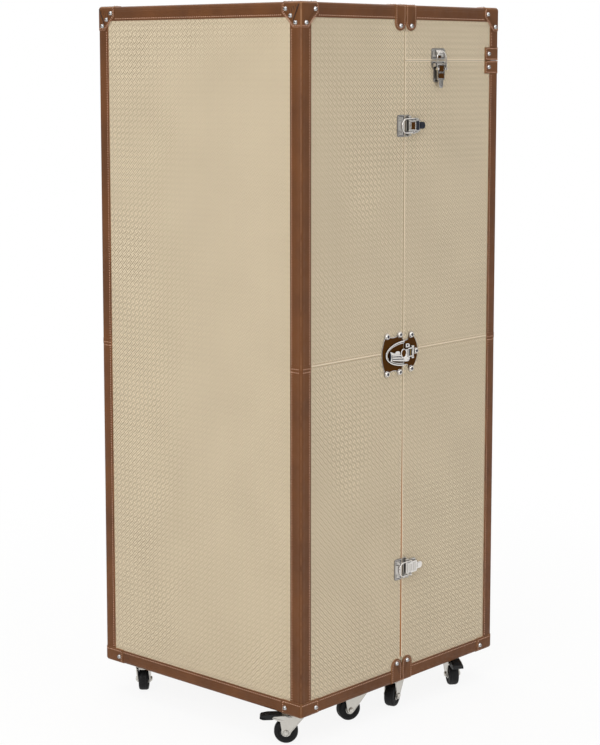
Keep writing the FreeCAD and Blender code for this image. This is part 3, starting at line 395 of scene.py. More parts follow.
CANVAS = woven("canvas_weave", srgb(226, 208, 176), srgb(112, 94, 68), 0.0045, 0.53, group=2)
LINING = woven("lining_cloth", srgb(196, 172, 136), srgb(140, 116, 84), 0.0011, 0.35, slant=False)
# Painted shade: the seam cord's darker cloth.
SHADE_CORD = woven("seam_cord_painted_shade", srgb(172, 148, 112), srgb(120, 98, 70), 0.0009, 0.2)
# Painted highlight: pale beads along rounded edges and ridges.
HIGHLIGHT_HEM = woven("pale_hem_painted_highlight", srgb(238, 222, 196), srgb(200, 180, 150), 0.0009, 0.2)
# Each leather's third colour is its painted highlight at the fold.
LEATHER = leather("binding_leather", srgb(92, 53, 22), srgb(110, 65, 28), srgb(192, 142, 104))
CAP_LEATHER = leather("cap_leather", srgb(94, 55, 23), srgb(112, 67, 29), srgb(200, 152, 112), ridges=False)
BOARD = wood("board_plywood", srgb(176, 140, 96), srgb(206, 174, 128), True, rough=0.6, coat=0.0)
RIM = wood("honey_rim", srgb(138, 82, 18), srgb(176, 108, 30), True, coat=0.0)
CABINET = wood("cabinet_veneer", srgb(92, 54, 30), srgb(142, 90, 54), rough=0.34)
# Painted shade: dark leather for the caps' darts and for the sheet in the lid's cut.
SHADE_CREASE = leather("crease_painted_shade", srgb(34, 18, 10), srgb(46, 26, 14), srgb(90, 60, 40), ridges=False)
# Painted highlight: the pale piping along the caps' edges.
HIGHLIGHT_PIPING = leather("cap_edge_painted_highlight", srgb(140, 94, 66), srgb(166, 116, 86), srgb(214, 176, 150), ridges=False)
# These metals carry painted shade in their hollows, which also gives each rivet head a dark centre.
PLATE = metal("satin_nickel", srgb(212, 208, 202), 0.28, grime_and_shade=0.004)
STUD = metal("rivet_steel", srgb(198, 197, 196), 0.16, grime_and_shade=0.006)
NICKEL = metal("polished_nickel", srgb(228, 224, 219), 0.13, 0.08, grime_and_shade=0.008)
ZINC = metal("zinc_plate", srgb(214, 210, 202), 0.34, 0.14, mottle=420, grime_and_shade=0.004)
BRASS = metal("dull_brass", srgb(150, 122, 66), 0.3, 0.12)
# Painted shade: a dark metal laid in slots, grooves and hollows and beside the latch rims.
SHADE_STEEL = metal("dark_steel_painted_shade", srgb(58, 60, 70), 0.32, 0.12)
ALUMINIUM = metal("satin_aluminium", srgb(206, 206, 205), 0.32, mottle=70, brushed=(14, 14, 1))
# Painted reflection: brown laid into the lock's and latches' polished metal for the brown that it reflects.
REFLECTION_ENAMEL = plain("brown_enamel_painted_reflection", srgb(80, 46, 5), 0.6, fine=700, contrast=0.25, Specular_IOR_Level=0.06)
THREAD = sewing("waxed_thread", srgb(226, 176, 144))
TWINE = sewing("brown_twine", srgb(156, 116, 82))
RUBBER = plain("tyre_rubber", srgb(15, 15, 16), 0.6, Specular_IOR_Level=0.3)
PLASTIC = plain("black_pedal", srgb(14, 14, 15), 0.42, fine=900, contrast=0.25, Specular_IOR_Level=0.35)
SLOT_FINISH = {
    "board": BOARD, "rim_wood": RIM, "canvas": CANVAS, "lining": LINING, "leather": LEATHER,
    "cap_leather": CAP_LEATHER, "nickel": NICKEL, "zinc": ZINC, "aluminium": ALUMINIUM,
    "cabinet_wood": CABINET, "wheel_rubber": RUBBER,
}


# ---- pieces ----

SHARP = math.radians(35)


def soften(thing, width):
    """Rounds an object's sharp edges by a width in millimetres."""
    edge = thing.modifiers.new("edge", "BEVEL")
    edge.width, edge.segments = width * MM, 2
    edge.limit_method, edge.angle_limit = "ANGLE", SHARP
    edge.harden_normals = True


def piece(name, form, finish, body, bevel=0.0, replaces=()):
    """One object from a form, riding on a body."""
    mesh = bpy.data.meshes.new(name)
    mesh.from_pydata([tuple(c * MM for c in p) for p in form.points], [], form.faces)
    tidy = bmesh.new()
    tidy.from_mesh(mesh)
    bmesh.ops.recalc_face_normals(tidy, faces=tidy.faces)
    tidy.to_mesh(mesh)
    tidy.free()
    mesh.materials.append(finish)
    mesh.polygons.foreach_set("use_smooth", [True] * len(mesh.polygons))
    mesh.set_sharp_from_angle(angle=SHARP)
    thing = bpy.data.objects.new(name, mesh)
    bpy.context.scene.collection.objects.link(thing)
    if bevel:
        soften(thing, bevel)
    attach(thing, body)
    if replaces:
        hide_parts(*replaces)


def dress_nodes():
    """Gives each solid its finish, and softened edges to those that stay in view."""
    slots = {part["node"]: part["material_slot"] for part in frame["record"]["subparts"]}
    softness = {
        "_edge_bindings": 0.6, "_corner_caps": 0.5, "_rim": 0.8, "_hinge_leaves": 0.35,
        "_bracket": 0.5, "garment_rail": 0.5, "drawer_": 0.9, "_strips": 0.4,
    }
    for name, thing in NODES.items():
        thing.data.materials.clear()
        thing.data.materials.append(SLOT_FINISH[slots[name]])
        widths = [width for ending, width in softness.items() if ending in name]
        if widths:
            weld = thing.modifiers.new("weld", "WELD")
            weld.merge_threshold = 0.01 * MM
            soften(thing, widths[0])


# ---- stitching ----


CAP_SEAM, STRAP_SEAM = {"pitch": 4.6, "length": 3.0}, {"pitch": 4.5, "length": 2.9}


def stitches(form, path, out, pitch=5.3, length=3.5, width=1.9, height=0.75):
    """Threads along a path of points on a face whose outward direction is out."""
    out = Vector(out)
    spots = [Vector(p) for p in path]
    lengths = [(b - a).length for a, b in zip(spots, spots[1:])]
    total = sum(lengths)
    count = max(1, int(total // pitch))
    gap = total / count
    for i in range(count):
        reach, leg = (i + 0.5) * gap, 0
        while leg < len(lengths) - 1 and reach > lengths[leg]:
            reach -= lengths[leg]
            leg += 1
        along = (spots[leg + 1] - spots[leg]).normalized()
        middle = spots[leg] + along * reach
        side = out.cross(along)
        points = [middle - along * length / 2 - out * 0.2]
        for step in (-0.22, 0.22):
            heart = middle + along * length * step
            flank = side * width / 2
            points += [heart - flank, heart + out * height, heart + flank, heart - out * 0.3]
        points.append(middle + along * length / 2 - out * 0.2)
        faces = [[0, 1 + k, 1 + (k + 1) % 4] for k in range(4)]
        faces += [[1 + k, 5 + k, 5 + (k + 1) % 4, 1 + (k + 1) % 4] for k in range(4)]
        faces += [[5 + k, 9, 5 + (k + 1) % 4] for k in range(4)]
        form.add([tuple(p) for p in points], faces)


def bodies_of(side):
    """The bodies below and above the lid's cut, on one side of the seam."""
    return ("left_half", "left_half") if side < 0 else ("right_half", "lid")


def corner_faces(side, end, proud=CAP):
    """Places on one upright corner's broad, narrow and top faces, which stand proud of the leather.

    Each takes two distances in from the trunk's edges, from the top where one is upright, and one out."""
    return (
        lambda a, b, w=0.0: (side * (LEATHER_X + proud + w), end * (LEATHER_Y - a), HIGH - b),
        lambda a, b, w=0.0: (side * (LEATHER_X - a), end * (LEATHER_Y + proud + w), HIGH - b),
        lambda a, b, w=0.0: (side * (LEATHER_X - a), end * (LEATHER_Y - b), HIGH + proud + w),
    )


def stitch_trunk():
    """All the leather's stitching, gathered by the body that it rides on."""
    forms = {body: Form() for body in ("left_half", "right_half", "lid")}
    row, cap, foot, strap, cut = BINDING - 4.4, CORNER_LEG + 2, FOOT_LEG + 2, LEATHER_X - 36, HIGH - CUT
    low = TALL - FOOT_HEIGHT - 2
    for side in (-1, 1):
        base, top = bodies_of(side)
        spans = [(base, low, cap)]
        if side > 0:
            spans = [(base, low, cut + SIDE_STRAP + 2), (top, cut - SIDE_STRAP - 2.5, cap)]
        level = ((top, cap, row), (base, foot, TALL - row))
        corners = [corner_faces(side, end, 0.0) for end in (-1, 1)]
        for end, (broad, narrow, above) in zip((-1, 1), corners):
            for face, out in ((broad, (side, 0, 0)), (narrow, (0, end, 0))):
                for body, start, stop in spans:
                    stitches(forms[body], [face(row, start), face(row, stop)], out)
            for body, inset, b in level:
                stitches(forms[body], [narrow(strap, b), narrow(inset, b)], (0, end, 0))
            stitches(forms[top], [above(strap, row), above(cap, row)], (0, 0, 1))
        for body, inset, b in level:
            stitches(forms[body], [broad(inset, b) for broad, _, _ in corners], (side, 0, 0))
        stitches(forms[top], [above(row, cap) for _, _, above in corners], (0, 0, 1))
        stitch_caps(forms, side, base, top)
    for body, form in forms.items():
        piece(f"stitching_{body}", form, THREAD, body)


def stitch_caps(forms, side, base, top):
    """The seams round the corner caps, the seam straps, the foot caps and the side straps."""
    near, far, foot, tip, back = 4.2, 31.2, 2.0, 36.5, 42.0
    turns = [math.radians(t) for t in range(15, 180, 15)]
    strap = [(STRAP_MIDDLE - STRAP_ROUND * math.cos(t), tip + STRAP_ROUND * math.sin(t)) for t in turns]
    strap = [(near, foot), (near, tip)] + strap + [(far, tip), (far, foot)]
    square = ((near, foot), (near, back), (far, back), (far, foot))
    corner = [(46.5, 2.0), (46.5, 20.0), (20.0, 46.5), (2.0, 46.5)]
    shoe = [(2.0, TALL - 26.5), (50.0, TALL - 26.5), (50.0, TALL - 3.0)]
    cut = HIGH - CUT
    for end in (-1, 1):
        faces = list(zip(corner_faces(side, end), ((side, 0, 0), (0, end, 0), (0, 0, 1))))
        for face, out in faces:
            stitches(forms[top], [face(a, b) for a, b in corner], out, **CAP_SEAM)
        for body, edge, way in ((top, HIGH + CAP, -1), (base, LOW - CAP, 1)):
            path = [(side * a, end * (LEATHER_Y + CAP), edge + way * b) for a, b in strap]
            stitches(forms[body], path, (0, end, 0), **STRAP_SEAM)
        path = [(side * a, end * (LEATHER_Y + CAP - b), HIGH + CAP) for a, b in square]
        stitches(forms[top], path, (0, 0, 1), **STRAP_SEAM)
        for face, out in faces[:2]:
            stitches(forms[base], [face(a, b) for a, b in shoe], out, pitch=4.6)
        if side > 0:
            for body, low, high in ((base, cut + 25.8, cut + 3.0), (top, cut - 3.0, cut - 25.8)):
                band = [(2.0, low), (44.5, low), (44.5, high), (2.0, high)]
                for face, out in faces[:2]:
                    stitches(forms[body], [face(a, b) for a, b in band], out, **STRAP_SEAM)


def cover_seams():
    """The doubled line where the front and back covers' upper and lower cloths meet."""
    welt = [(-5.6, 0.0), (-5.2, 0.5), (5.2, 0.5), (5.6, 0.0), (5.6, -0.4), (-5.6, -0.4)]
    hinge, lock_left, lock_right, binding = 42.0, 74.0, 50.0, LEATHER_X - BINDING - 1.0
    for side, body in ((-1, "left_half"), (1, "right_half")):
        form, cloth, ridge = Form(), Form(), Form()
        for end in (-1, 1):
            near = hinge if end > 0 else (lock_left if side < 0 else lock_right)
            face = end * (COVER_Y + 0.45)
            for z in (MIDDLE - 3.2, MIDDLE + 3.2):
                path = [(side * near, face, z), (side * binding, face, z)]
                stitches(form, path, (0, end, 0), pitch=5.6, length=3.7, width=1.5, height=0.4)
            x0, x1 = sorted((side * near, side * binding))
            cloth.prism(welt, x0, x1, lambda u, v, w: (w, end * (COVER_Y + v), MIDDLE + u))
            # Painted highlight: the pale ridge along the welt.
            ridge.tube([(x, end * (COVER_Y + 0.3), MIDDLE) for x in (x0, x1)], 1.0)
        piece(f"cover_seam_stitches_{body}", form, TWINE, body)
        piece(f"cover_seam_ridge_{body}", ridge, HIGHLIGHT_HEM, body)
        piece(f"cover_welt_{body}", cloth, CANVAS, body)


def seam_beads():
    """The seam's edges: a cord above the rim's honey edge, which widens downwards, darker as painted shade on
    the left half's rounded edge, and on the right a pale bead as painted highlight on that half's rounded
    edge.
    """
    low, middle, high, near, steps = 124.5, 620.0, 1466.0, 0.2, 24
    cord_x, hem_x = -1.9, 2.5
    heights = [low + (middle - low) * i / steps for i in range(steps + 1)]
    slope = [(-SEAM - 0.5 - 3.0 * ((middle - z) / (middle - low)), z) for z in heights]
    honey, cord, pale, top = (Form() for _ in range(4))
    for end in (-1, 1):
        front_of = lambda u, v, w: (u, end * (COVER_Y + w), v)
        honey.prism([(-near, low)] + slope + [(-near, middle)], -0.6, 0.2, front_of)
        cord.prism(rectangle(cord_x, -near, middle + 0.3, high), -0.6, 0.4, front_of)
        pale.prism(rectangle(near, hem_x, low, CUT - 0.5), -0.6, 0.4, front_of)
        top.prism(rectangle(near, hem_x, CUT + 0.5, high), -0.6, 0.4, front_of)
    piece("rim_edge_left", honey, RIM, "left_half")
    piece("seam_cord_left", cord, SHADE_CORD, "left_half", 0.35)
    piece("seam_highlight_bead_right", pale, HIGHLIGHT_HEM, "right_half", 0.35)
    piece("seam_highlight_bead_lid", top, HIGHLIGHT_HEM, "lid", 0.35)


def horseshoe(outer, inner, start, low, high):
    """A strip along the lid's three closed sides, between two distances in from the leather's face."""
    x, y, deep_x, deep_y = LEATHER_X - outer, LEATHER_Y - outer, LEATHER_X - inner, LEATHER_Y - inner
    outline = [(start, -y), (x, -y), (x, y), (start, y)]
    outline += [(start, deep_y), (deep_x, deep_y), (deep_x, -deep_y), (start, -deep_y)]
    return Form().prism(outline, low, high)


def lid_cut():
    """The dust strip inside the lid's cut, a dark sheet in it as painted shade, and pale beads along both its
    edges as painted highlight.
    """
    strip = horseshoe(11.5, 13.5, 8.5, CUT - 14, CUT + 9)
    piece("lid_dust_strip", strip, LINING, "right_half", 0.4)
    # Painted shade: a dark sheet filling the cut.
    shade_sheet = horseshoe(3.4, 11.3, 1.6, CUT - 0.8, CUT + 0.15)
    piece("lid_cut_shade_sheet", shade_sheet, SHADE_CREASE, "right_half")
    # Painted highlight: pale beads along both edges of the cut.
    out, radius, near, reach_x, reach_y = 0.3, 1.05, 2.8, LEATHER_X - 49.5, LEATHER_Y - 49.5
    for way, body in ((-1, "right_half"), (1, "lid")):
        form, z = Form(), CUT + way * 1.45
        for end in (-1, 1):
            form.tube([(x, end * (COVER_Y + out), z) for x in (near, reach_x)], radius)
        form.tube([(COVER_X + out, y, z) for y in (-reach_y, reach_y)], radius)
        piece(f"cut_highlight_bead_{body}", form, HIGHLIGHT_HEM, body)


def binding_laps():
    """Where each upright binding's upper length laps over its lower one, between two rows of stitches."""
    proud, bend, low, high = 0.45, 6.0, MIDDLE - 6.6, MIDDLE + 5.0
    reach_x, reach_y = LEATHER_X - BINDING + 0.3, LEATHER_Y - BINDING + 0.3
    turn = lambda shift, a, b: arc(LEATHER_X - bend, LEATHER_Y - bend, bend + shift, a, b, 8)
    plan = [(reach_x, LEATHER_Y + proud)] + turn(proud, 90, 0) + [(LEATHER_X + proud, reach_y)]
    plan += [(LEATHER_X - proud, reach_y)] + turn(-proud, 0, 90) + [(reach_x, LEATHER_Y - proud)]
    for side, body in ((-1, "left_half"), (1, "right_half")):
        form, threads = Form(), Form()
        for end in (-1, 1):
            form.prism(plan, low, high, lambda u, v, w: (side * u, end * v, w))
            for z, out in ((MIDDLE - 3.2, proud), (MIDDLE - 10.2, 0.0)):
                x, y = side * (LEATHER_X + out), end * (LEATHER_Y + out)
                path = [(x, end * reach_y, z), (x, end * (LEATHER_Y - 5.5), z)]
                stitches(threads, path, (side, 0, 0), **CAP_SEAM)
                path = [(side * reach_x, y, z), (side * (LEATHER_X - 5.5), y, z)]
                stitches(threads, path, (0, end, 0), **CAP_SEAM)
        piece(f"binding_laps_{body}", form, LEATHER, body, 0.25)
        piece(f"binding_lap_stitches_{body}", threads, THREAD, body)


# ---- rivets and cap edges ----


def rivets():
    """Every rivet's hollow-centred head: flatter on top, where nothing may stand higher."""
    forms = {body: Form() for body in ("left_half", "right_half", "lid")}
    tall = [(3.2, -0.6), (4.6, -0.2), (4.75, 0.5), (4.3, 1.1), (4.0, 2.0)]
    tall += [(3.2, 3.2), (2.3, 3.8), (1.7, 3.8), (1.2, 2.6), (0, 2.3)]
    flat = [(3.2, -0.6), (4.6, -0.2), (4.75, 0.4), (4.2, 1.0), (3.4, 1.7)]
    flat += [(2.4, 2.3), (1.8, 2.3), (1.2, 1.4), (0, 1.2)]
    near, middle, far, foot, side_strap = 14.0, 27.4, 40.75, 44, 36
    strap, strap_tip, strap_top, cut = LEATHER_X - STRAP_MIDDLE, 43, 31, HIGH - CUT
    for side in (-1, 1):
        base, top = (forms[body] for body in bodies_of(side))
        for end in (-1, 1):
            broad, narrow, above = corner_faces(side, end)
            heads = [(top, broad, a, b) for a, b in ((far, near), (middle, middle), (near, far))]
            heads += [(top, face, a, b) for a, b in ((far, near), (near, far)) for face in (narrow, above)]
            heads += [(top, narrow, strap, strap_tip), (base, narrow, strap, TALL - strap_tip)]
            heads += [(top, above, strap, strap_top)]
            heads += [(base, face, foot, TALL - near) for face in (broad, narrow)]
            if side > 0:
                rows = (base, cut + 14.5), (top, cut - 14.5)
                heads += [(form, face, side_strap, b) for form, b in rows for face in (broad, narrow)]
            for form, face, a, b in heads:
                form.lathe(flat if face is above else tall, within(face, a, b), 24)
    for body, form in forms.items():
        node = body.replace("_half", "") + "_rivets"
        piece(f"rivet_heads_{body}", form, STUD, body, 0.0, (node,))


def cap_edges():
    """Pale piping along the corner caps' edges as painted highlight, and the dart folded into each cap's
    broad side, drawn in dark tubes as painted shade.
    """
    outline = [(49.6, 4.0), (49.6, 20.4), (20.4, 49.6), (4.0, 49.6)]
    for side in (-1, 1):
        body = "left_half" if side < 0 else "lid"
        edges, darts = Form(), Form()
        for end in (-1, 1):
            faces = corner_faces(side, end)
            for face in faces:
                for one, two in zip(outline, outline[1:]):
                    edges.tube([(*one, -0.2), (*two, -0.2)], 0.75, face, 8)
            # Painted shade: dark tubes along the dart and its folds.
            darts.tube([(5, 5, 0.0), (12, 20, 0.3), (20.5, 37, 0.2)], 1.2, faces[0], 8)
            for k in range(4):
                fold = [(14 + 6 * k, 7 + 2 * k, -0.15), (11 + 6 * k, 14 + 3.5 * k, -0.1)]
                darts.tube(fold, 0.55, faces[0], 6)
        piece(f"cap_highlight_piping_{body}", edges, HIGHLIGHT_PIPING, body)
        piece(f"cap_darts_{body}", darts, SHADE_CREASE, body)


# ---- latches ----


def screw(forms, place, u, v, w, radius):
    """A slotted dome-headed screw, as a form for its head and one for its slot."""
    spot, foot, rise = within(place, u, v, w), 0.2, radius * 0.42
    turns = [math.radians(a) for a in (22, 45, 68)]
    slope = [(radius * math.cos(t), foot + rise * math.sin(t)) for t in turns]
    forms[0].lathe([(radius, -0.5), (radius, foot)] + slope + [(0, foot + rise)], spot, 20)
    long, wide, top = radius * 0.72, radius * 0.13, rise + foot
    # The slot is a bar set into the head, which its callers draw dark as painted shade.
    forms[1].prism(rectangle(-long, long, -wide, wide), top - 0.45, top - 0.02, spot)


def latch_forms(place):
    """A latch's plates, lever, tab, window and loop as forms, in that latch's axes."""
    kinds = ("catch", "base", "lever", "window", "tab", "loop", "slots_and_shade_catch", "slots_and_shade_base", "panel", "sill")
    made = {kind: Form() for kind in kinds}
    catch, base, lever, tab, loop = (made[kind] for kind in ("catch", "base", "lever", "tab", "loop"))
    edgewise = within(place, axes="uwv")
    thick, sunk, line = 1.5, 1.2, 1.62
    pin_u, pin_w, eye_u, eye_w = 10, 6, 18, 10.5

    catch.prism(rectangle(-25.5, -1.5, -23, 23, [6, 2, 2, 6]), 0, thick, place)
    keeper = [(-23.0, 1.0), (-18.5, 4.4), (-14.4, 8.2), (-10.6, 8.9), (-10.5, 1.0)]
    catch.prism(keeper, -9.5, 9.5, edgewise)
    rim = rectangle(-24.2, -3.2, -21.7, 21.7, [5, 1.5, 1.5, 5])
    inner = rectangle(-22.6, -4.8, -20.1, 20.1, [4, 1.0, 1.0, 4])
    catch.band(rim, inner, sunk, 2.3, place)
    outside = rectangle(-25.1, -2.2, -22.6, 22.6, [5.6, 1.8, 1.8, 5.6])
    field = rectangle(-21.4, -6.0, -18.9, 18.9, [3, 0.8, 0.8, 3])
    # Painted shade: dark bands just proud of the plate, outside and inside the catch's rim.
    made["slots_and_shade_catch"].band(outside, rim, sunk, line, place)
    made["slots_and_shade_catch"].band(inner, field, sunk, line, place)
    for v in (-15.2, 15.2):
        for u in (-8.6, -19.0):
            screw((catch, made["slots_and_shade_catch"]), place, u, v, thick, 2.5)
    made["sill"].prism(rectangle(-9.6, -2.6, -8.4, 8.4, 1.0), sunk, 2.1, place)

    base.prism(mirrored([(1.5, -23), (13, -23), (17, -16), (46, -16)], [2, 4, 5, 5]), 0, thick, place)
    base.prism(rectangle(1.9, 5.3, -11.2, 11.2, 0.8), sunk, 3.0, place)
    edge = mirrored([(2.6, -21.8), (12.2, -21.8), (16.6, -14.8), (44.8, -14.8)], 3)
    inset = mirrored([(3.8, -20.4), (11.4, -20.4), (15.8, -13.4), (43.4, -13.4)], 2.4)
    field = mirrored([(5.6, -18.4), (10.6, -18.4), (15.0, -11.8), (42.0, -11.8)], 2.0)
    base.band(edge, inset, sunk, 2.1, place)
    # Painted shade: a dark band inside the base plate's rim.
    made["slots_and_shade_base"].band(inset, field, sunk, line, place)
    ear = [(6.0, 1.0)] + arc(pin_u, pin_w, 4, 180, 0, 12) + [(14.0, 1.0)]
    for v in (-20, 18):
        base.prism(ear, v, v + 2, edgewise)
    pin = [(0, -21.6), (2.1, -21.2), (2.1, -20.1), (1.5, -20), (1.5, 20), (2.1, 20.1), (2.1, 21.2), (0, 21.6)]
    base.lathe(pin, within(place, pin_u, 0, pin_w, "uwv"), 20)
    for v in (-11.352, 11.352):
        screw((base, made["slots_and_shade_base"]), place, 40.0, v, thick, 2.2)

    side = [(6.8, 4.8)] + arc(pin_u, pin_w, 3.5, 200, 95, 8)
    side += [(12, 9.7), (41, 9.4), (42, 7.6), (22, 7.2), (20.6, 5.6), (13.2, 3.2)]
    lever.prism(side, -12, 12, edgewise)
    side_ear = [(13.0, 7.5)] + arc(eye_u, eye_w, 2.3, 170, 10, 12) + [(23.0, 7.5)]
    for low, high in ((-12.6, -10.6), (10.6, 12.6)):
        lever.prism(side_ear, low, high, edgewise)
    for low, high in ((-16.5, -11), (11, 16.5)):
        stub = [(0, low), (1.3, low), (1.3, high), (0, high)]
        lever.lathe(stub, within(place, eye_u, 0, eye_w, "uwv"), 16)
    frame_out, frame_in = rectangle(8.3, 26.0, -10.4, 10.4, 3.0), rectangle(10.6, 23.4, -7.8, 7.8, 0.8)
    lever.band(frame_out, frame_in, 8.6, 10.2, place)
    made["window"].prism(rectangle(10.4, 23.6, -8.2, 8.2, 0.8), 8.6, 9.95, place)
    made["panel"].prism(rectangle(27.6, 37.6, -9.6, 9.6, 1.5), 8.8, 9.9, place)
    for start, radius, low, high in ((38.5, 7.4, 6.6, 9.6), (42.0, 5.2, 9.4, 10.3)):
        thumb = [(start, -radius)] + arc(51.5, 0, radius, -90, 90, 16) + [(start, radius)]
        tab.prism(thumb, low, high, place)

    bend, heart = 14.9, -5.0
    turns = [math.radians(t) for t in range(0, 91, 9)]
    path = [(eye_u, bend, eye_w), (6, bend, eye_w)]
    path += [(heart - bend * math.sin(t), bend * math.cos(t), eye_w) for t in turns]
    loop.tube(path + [(u, -v, w) for u, v, w in reversed(path[:-1])], 1.4, place, 12)
    for v in (-16.5, 14.0):
        eye = [(1.4, 0), (3.0, 0), (3.0, 2.5), (1.4, 2.5)]
        loop.lathe(eye, within(place, eye_u, v, eye_w, "uwv"), 20, ring=True)
    return made


def merge(forms):
    whole = Form()
    for form in forms:
        whole.add(form.points, form.faces)
    return whole


def latches():
    """The three latches; each lever's window, panel and tab in the tones that the photograph shows there."""
    sets = {tag: latch_forms(front(z)) for tag, z in LATCHES.items()}
    sets["lid"] = latch_forms(lid_front)
    seam, lid, every = [sets["upper"], sets["lower"]], [sets["lid"]], list(sets.values())
    plates = (
        ("seam_catches", seam, "catch", PLATE, "left_half", 0.35, ("latch_catches",)),
        ("seam_catch_slots_and_shade", seam, "slots_and_shade_catch", SHADE_STEEL, "left_half", 0.0, ()),
        ("seam_catch_sills", seam, "sill", NICKEL, "left_half", 0.2, ()),
        ("lid_catch_plate", lid, "catch", PLATE, "lid", 0.35, ("lid_catch",)),
        ("lid_catch_slots_and_shade", lid, "slots_and_shade_catch", SHADE_STEEL, "lid", 0.0, ()),
        # The lid catch's sill is brown enamel as painted reflection, where the seam catches' sills are
        # nickel.
        ("lid_catch_sill", lid, "sill", REFLECTION_ENAMEL, "lid", 0.2, ()),
        ("latch_base_plates", every, "base", PLATE, "right_half", 0.35, ("latch_bases",)),
        ("latch_base_slots_and_shade", every, "slots_and_shade_base", SHADE_STEEL, "right_half", 0.0, ()),
    )
    for name, chosen, kind, finish, body, bevel, nodes in plates:
        piece(name, merge(made[kind] for made in chosen), finish, body, bevel, nodes)
    # The same latch takes different finishes by place: the upper lever's dark steel panel and tab are painted
    # shade, and the brown enamel on the upper and lid levers is painted reflection.
    tones = {
        "upper": (REFLECTION_ENAMEL, SHADE_STEEL, SHADE_STEEL),
        "lower": (PLATE, PLATE, NICKEL),
        "lid": (REFLECTION_ENAMEL, REFLECTION_ENAMEL, NICKEL),
    }
    for tag, made in sets.items():
        body, link = f"latch_lever_{tag}", f"latch_loop_{tag}"
        piece(f"lever_{tag}", made["lever"], NICKEL, body, 0.5, (body,))
        for kind, finish, bevel in zip(("window", "panel", "tab"), tones[tag], (0.3, 0.3, 0.7)):
            piece(f"lever_{kind}_{tag}", made[kind], finish, body, bevel)
        piece(f"loop_{tag}", made["loop"], NICKEL, link, 0.0, (link,))


# ---- lock ----

HASP_U, HASP_W = 24, 6  # the hasp's hinge pin, in the lock's axes


def scallops(radius, seam_height, lobes):
    """Half a lock plate's outline, as heights at places along it: a disc cut in hollows between its lobes.

    lobes are (place, height), from the disc's outer end to the seam; the last hollow ends at seam_height."""
    steps, edge, lobe, sink = 72, 1.5, 7, 4.0
    marks = [*lobes, (edge, seam_height)]
    heights = []
    for i in range(steps + 1):
        u = radius + (edge - radius) * i / steps
        level = math.sqrt(max(0.0, radius * radius - u * u))
        if u < lobes[0][0] + lobe:
            for (u0, v0), (u1, v1) in zip(marks, marks[1:]):
                if u1 <= u <= u0:
                    share = (u0 - u) / (u0 - u1)
                    level = v0 + (v1 - v0) * share - sink * math.sin(math.pi * share)
            for u0, v0 in lobes:
                if abs(u - u0) < lobe:
                    level = max(level, v0 + math.sqrt(lobe**2 - (u - u0) ** 2) - 1.0)
        heights.append((u, level))
    return heights


def half_oval(outer, inner, start, edge):
    """A half ring left of the seam, 74 mm lower than wide, from start degrees and kept behind an edge."""
    rims = [arc(0, 0, r, start, 360 - start, 44, (r - 37.0) / r) for r in (outer, inner)]
    rims = [[(min(u, edge), v) for u, v in rim] for rim in rims]
    return rims[0] + rims[1][::-1]


def lock_hinge(plate, slots, place):
    """The right plate's two screwed blocks and the ears and pin that carry the hasp."""
    for way in (-1, 1):
        block = [(3.0, 10.8), (16.5, 10.8), (16.5, 15.5), (12.5, 19.2), (3.0, 19.2)]
        plate.prism(rounded([(u, way * v) for u, v in block], [1, 1, 3, 3, 2]), 2.2, 5.4, place)
        # Painted shade: a dark disc on each block's screw.
        slots.lathe([(2.1, 5.0), (2.1, 5.75), (0, 5.75)], within(place, 9.0, way * 15.0), 16)
    ear = [(20.2, 1.0)] + arc(HASP_U, HASP_W, 3.9, 180, 0, 12) + [(27.8, 1.0)]
    for v in (-13.4, 10.4):
        plate.prism(ear, v, v + 3.0, within(place, axes="uwv"))
    pin = [(0, -14.4), (1.9, -14.0), (1.9, 14.0), (0, 14.4)]
    plate.lathe(pin, within(place, HASP_U, 0, HASP_W, "uwv"), 18)


def lock():
    """The round lock across the seam: scalloped plates, studs, the ring in relief and the hinged hasp."""
    place = front(LOCK_Z)
    stud = [(7.0, 1.0), (7.0, 2.7), (6.3, 3.0), (6.1, 4.6), (5.3, 6.2)]
    stud += [(4.2, 6.8), (3.3, 6.4), (2.8, 5.0), (0, 4.8)]
    plates = (
        ("left", -1, 72.0, 31.0, ((56, 40), (14, 40)), []),
        ("right", 1, 47.0, 27.0, ((24, 36.5),), [(40, 0)]),
    )
    for tag, side, radius, seam_height, lobes, extra in plates:
        plate, inlay, slots, body = Form(), Form(), Form(), f"{tag}_half"
        half = scallops(radius, seam_height, lobes)
        outline = [(side * u, v) for u, v in half] + [(side * u, -v) for u, v in reversed(half[1:])]
        plate.prism(outline, 0, 1.8, place)
        field = [(side * (u - 0.9 * u / radius), v * (1 - 1.3 / max(v, 8.0))) for u, v in half]
        field = [(side * max(side * u, 1.9), v) for u, v in field]
        # Painted reflection: a brown inlay over the plate's field.
        inlay.prism(field + [(u, -v) for u, v in reversed(field[1:])], 1.2, 2.5, place)
        for u, v in [(side * u, way * v) for u, v in lobes for way in (-1, 1)] + extra:
            spot = within(place, u, v)
            plate.lathe(stud, spot, 28)
            # Painted shade: a dark disc on each stud's top.
            slots.lathe([(2.9, 4.4), (2.9, 5.4), (2.2, 5.7), (0, 5.7)], spot, 16)
        if side < 0:
            for outer, inner, high in ((64.0, 61.2, 6.0), (59.6, 57.8, 5.2)):
                plate.prism(half_oval(outer, inner, 91.6, -1.9), 2.0, high, place)
        else:
            lock_hinge(plate, slots, place)
        piece(f"lock_{tag}", plate, NICKEL, body, 0.35, (f"lock_plate_{tag}",))
        piece(f"lock_{tag}_inlay", inlay, REFLECTION_ENAMEL, body, 0.2)
        piece(f"lock_{tag}_slots", slots, SHADE_STEEL, body)
        if side < 0:
            # Painted shade: a dark groove between the ring's two rims.
            trench = Form().prism(half_oval(61.3, 59.5, 91.8, -2.0), 2.2, 3.6, place)
            piece(f"lock_{tag}_trench", trench, SHADE_STEEL, body)
    hasp(place)


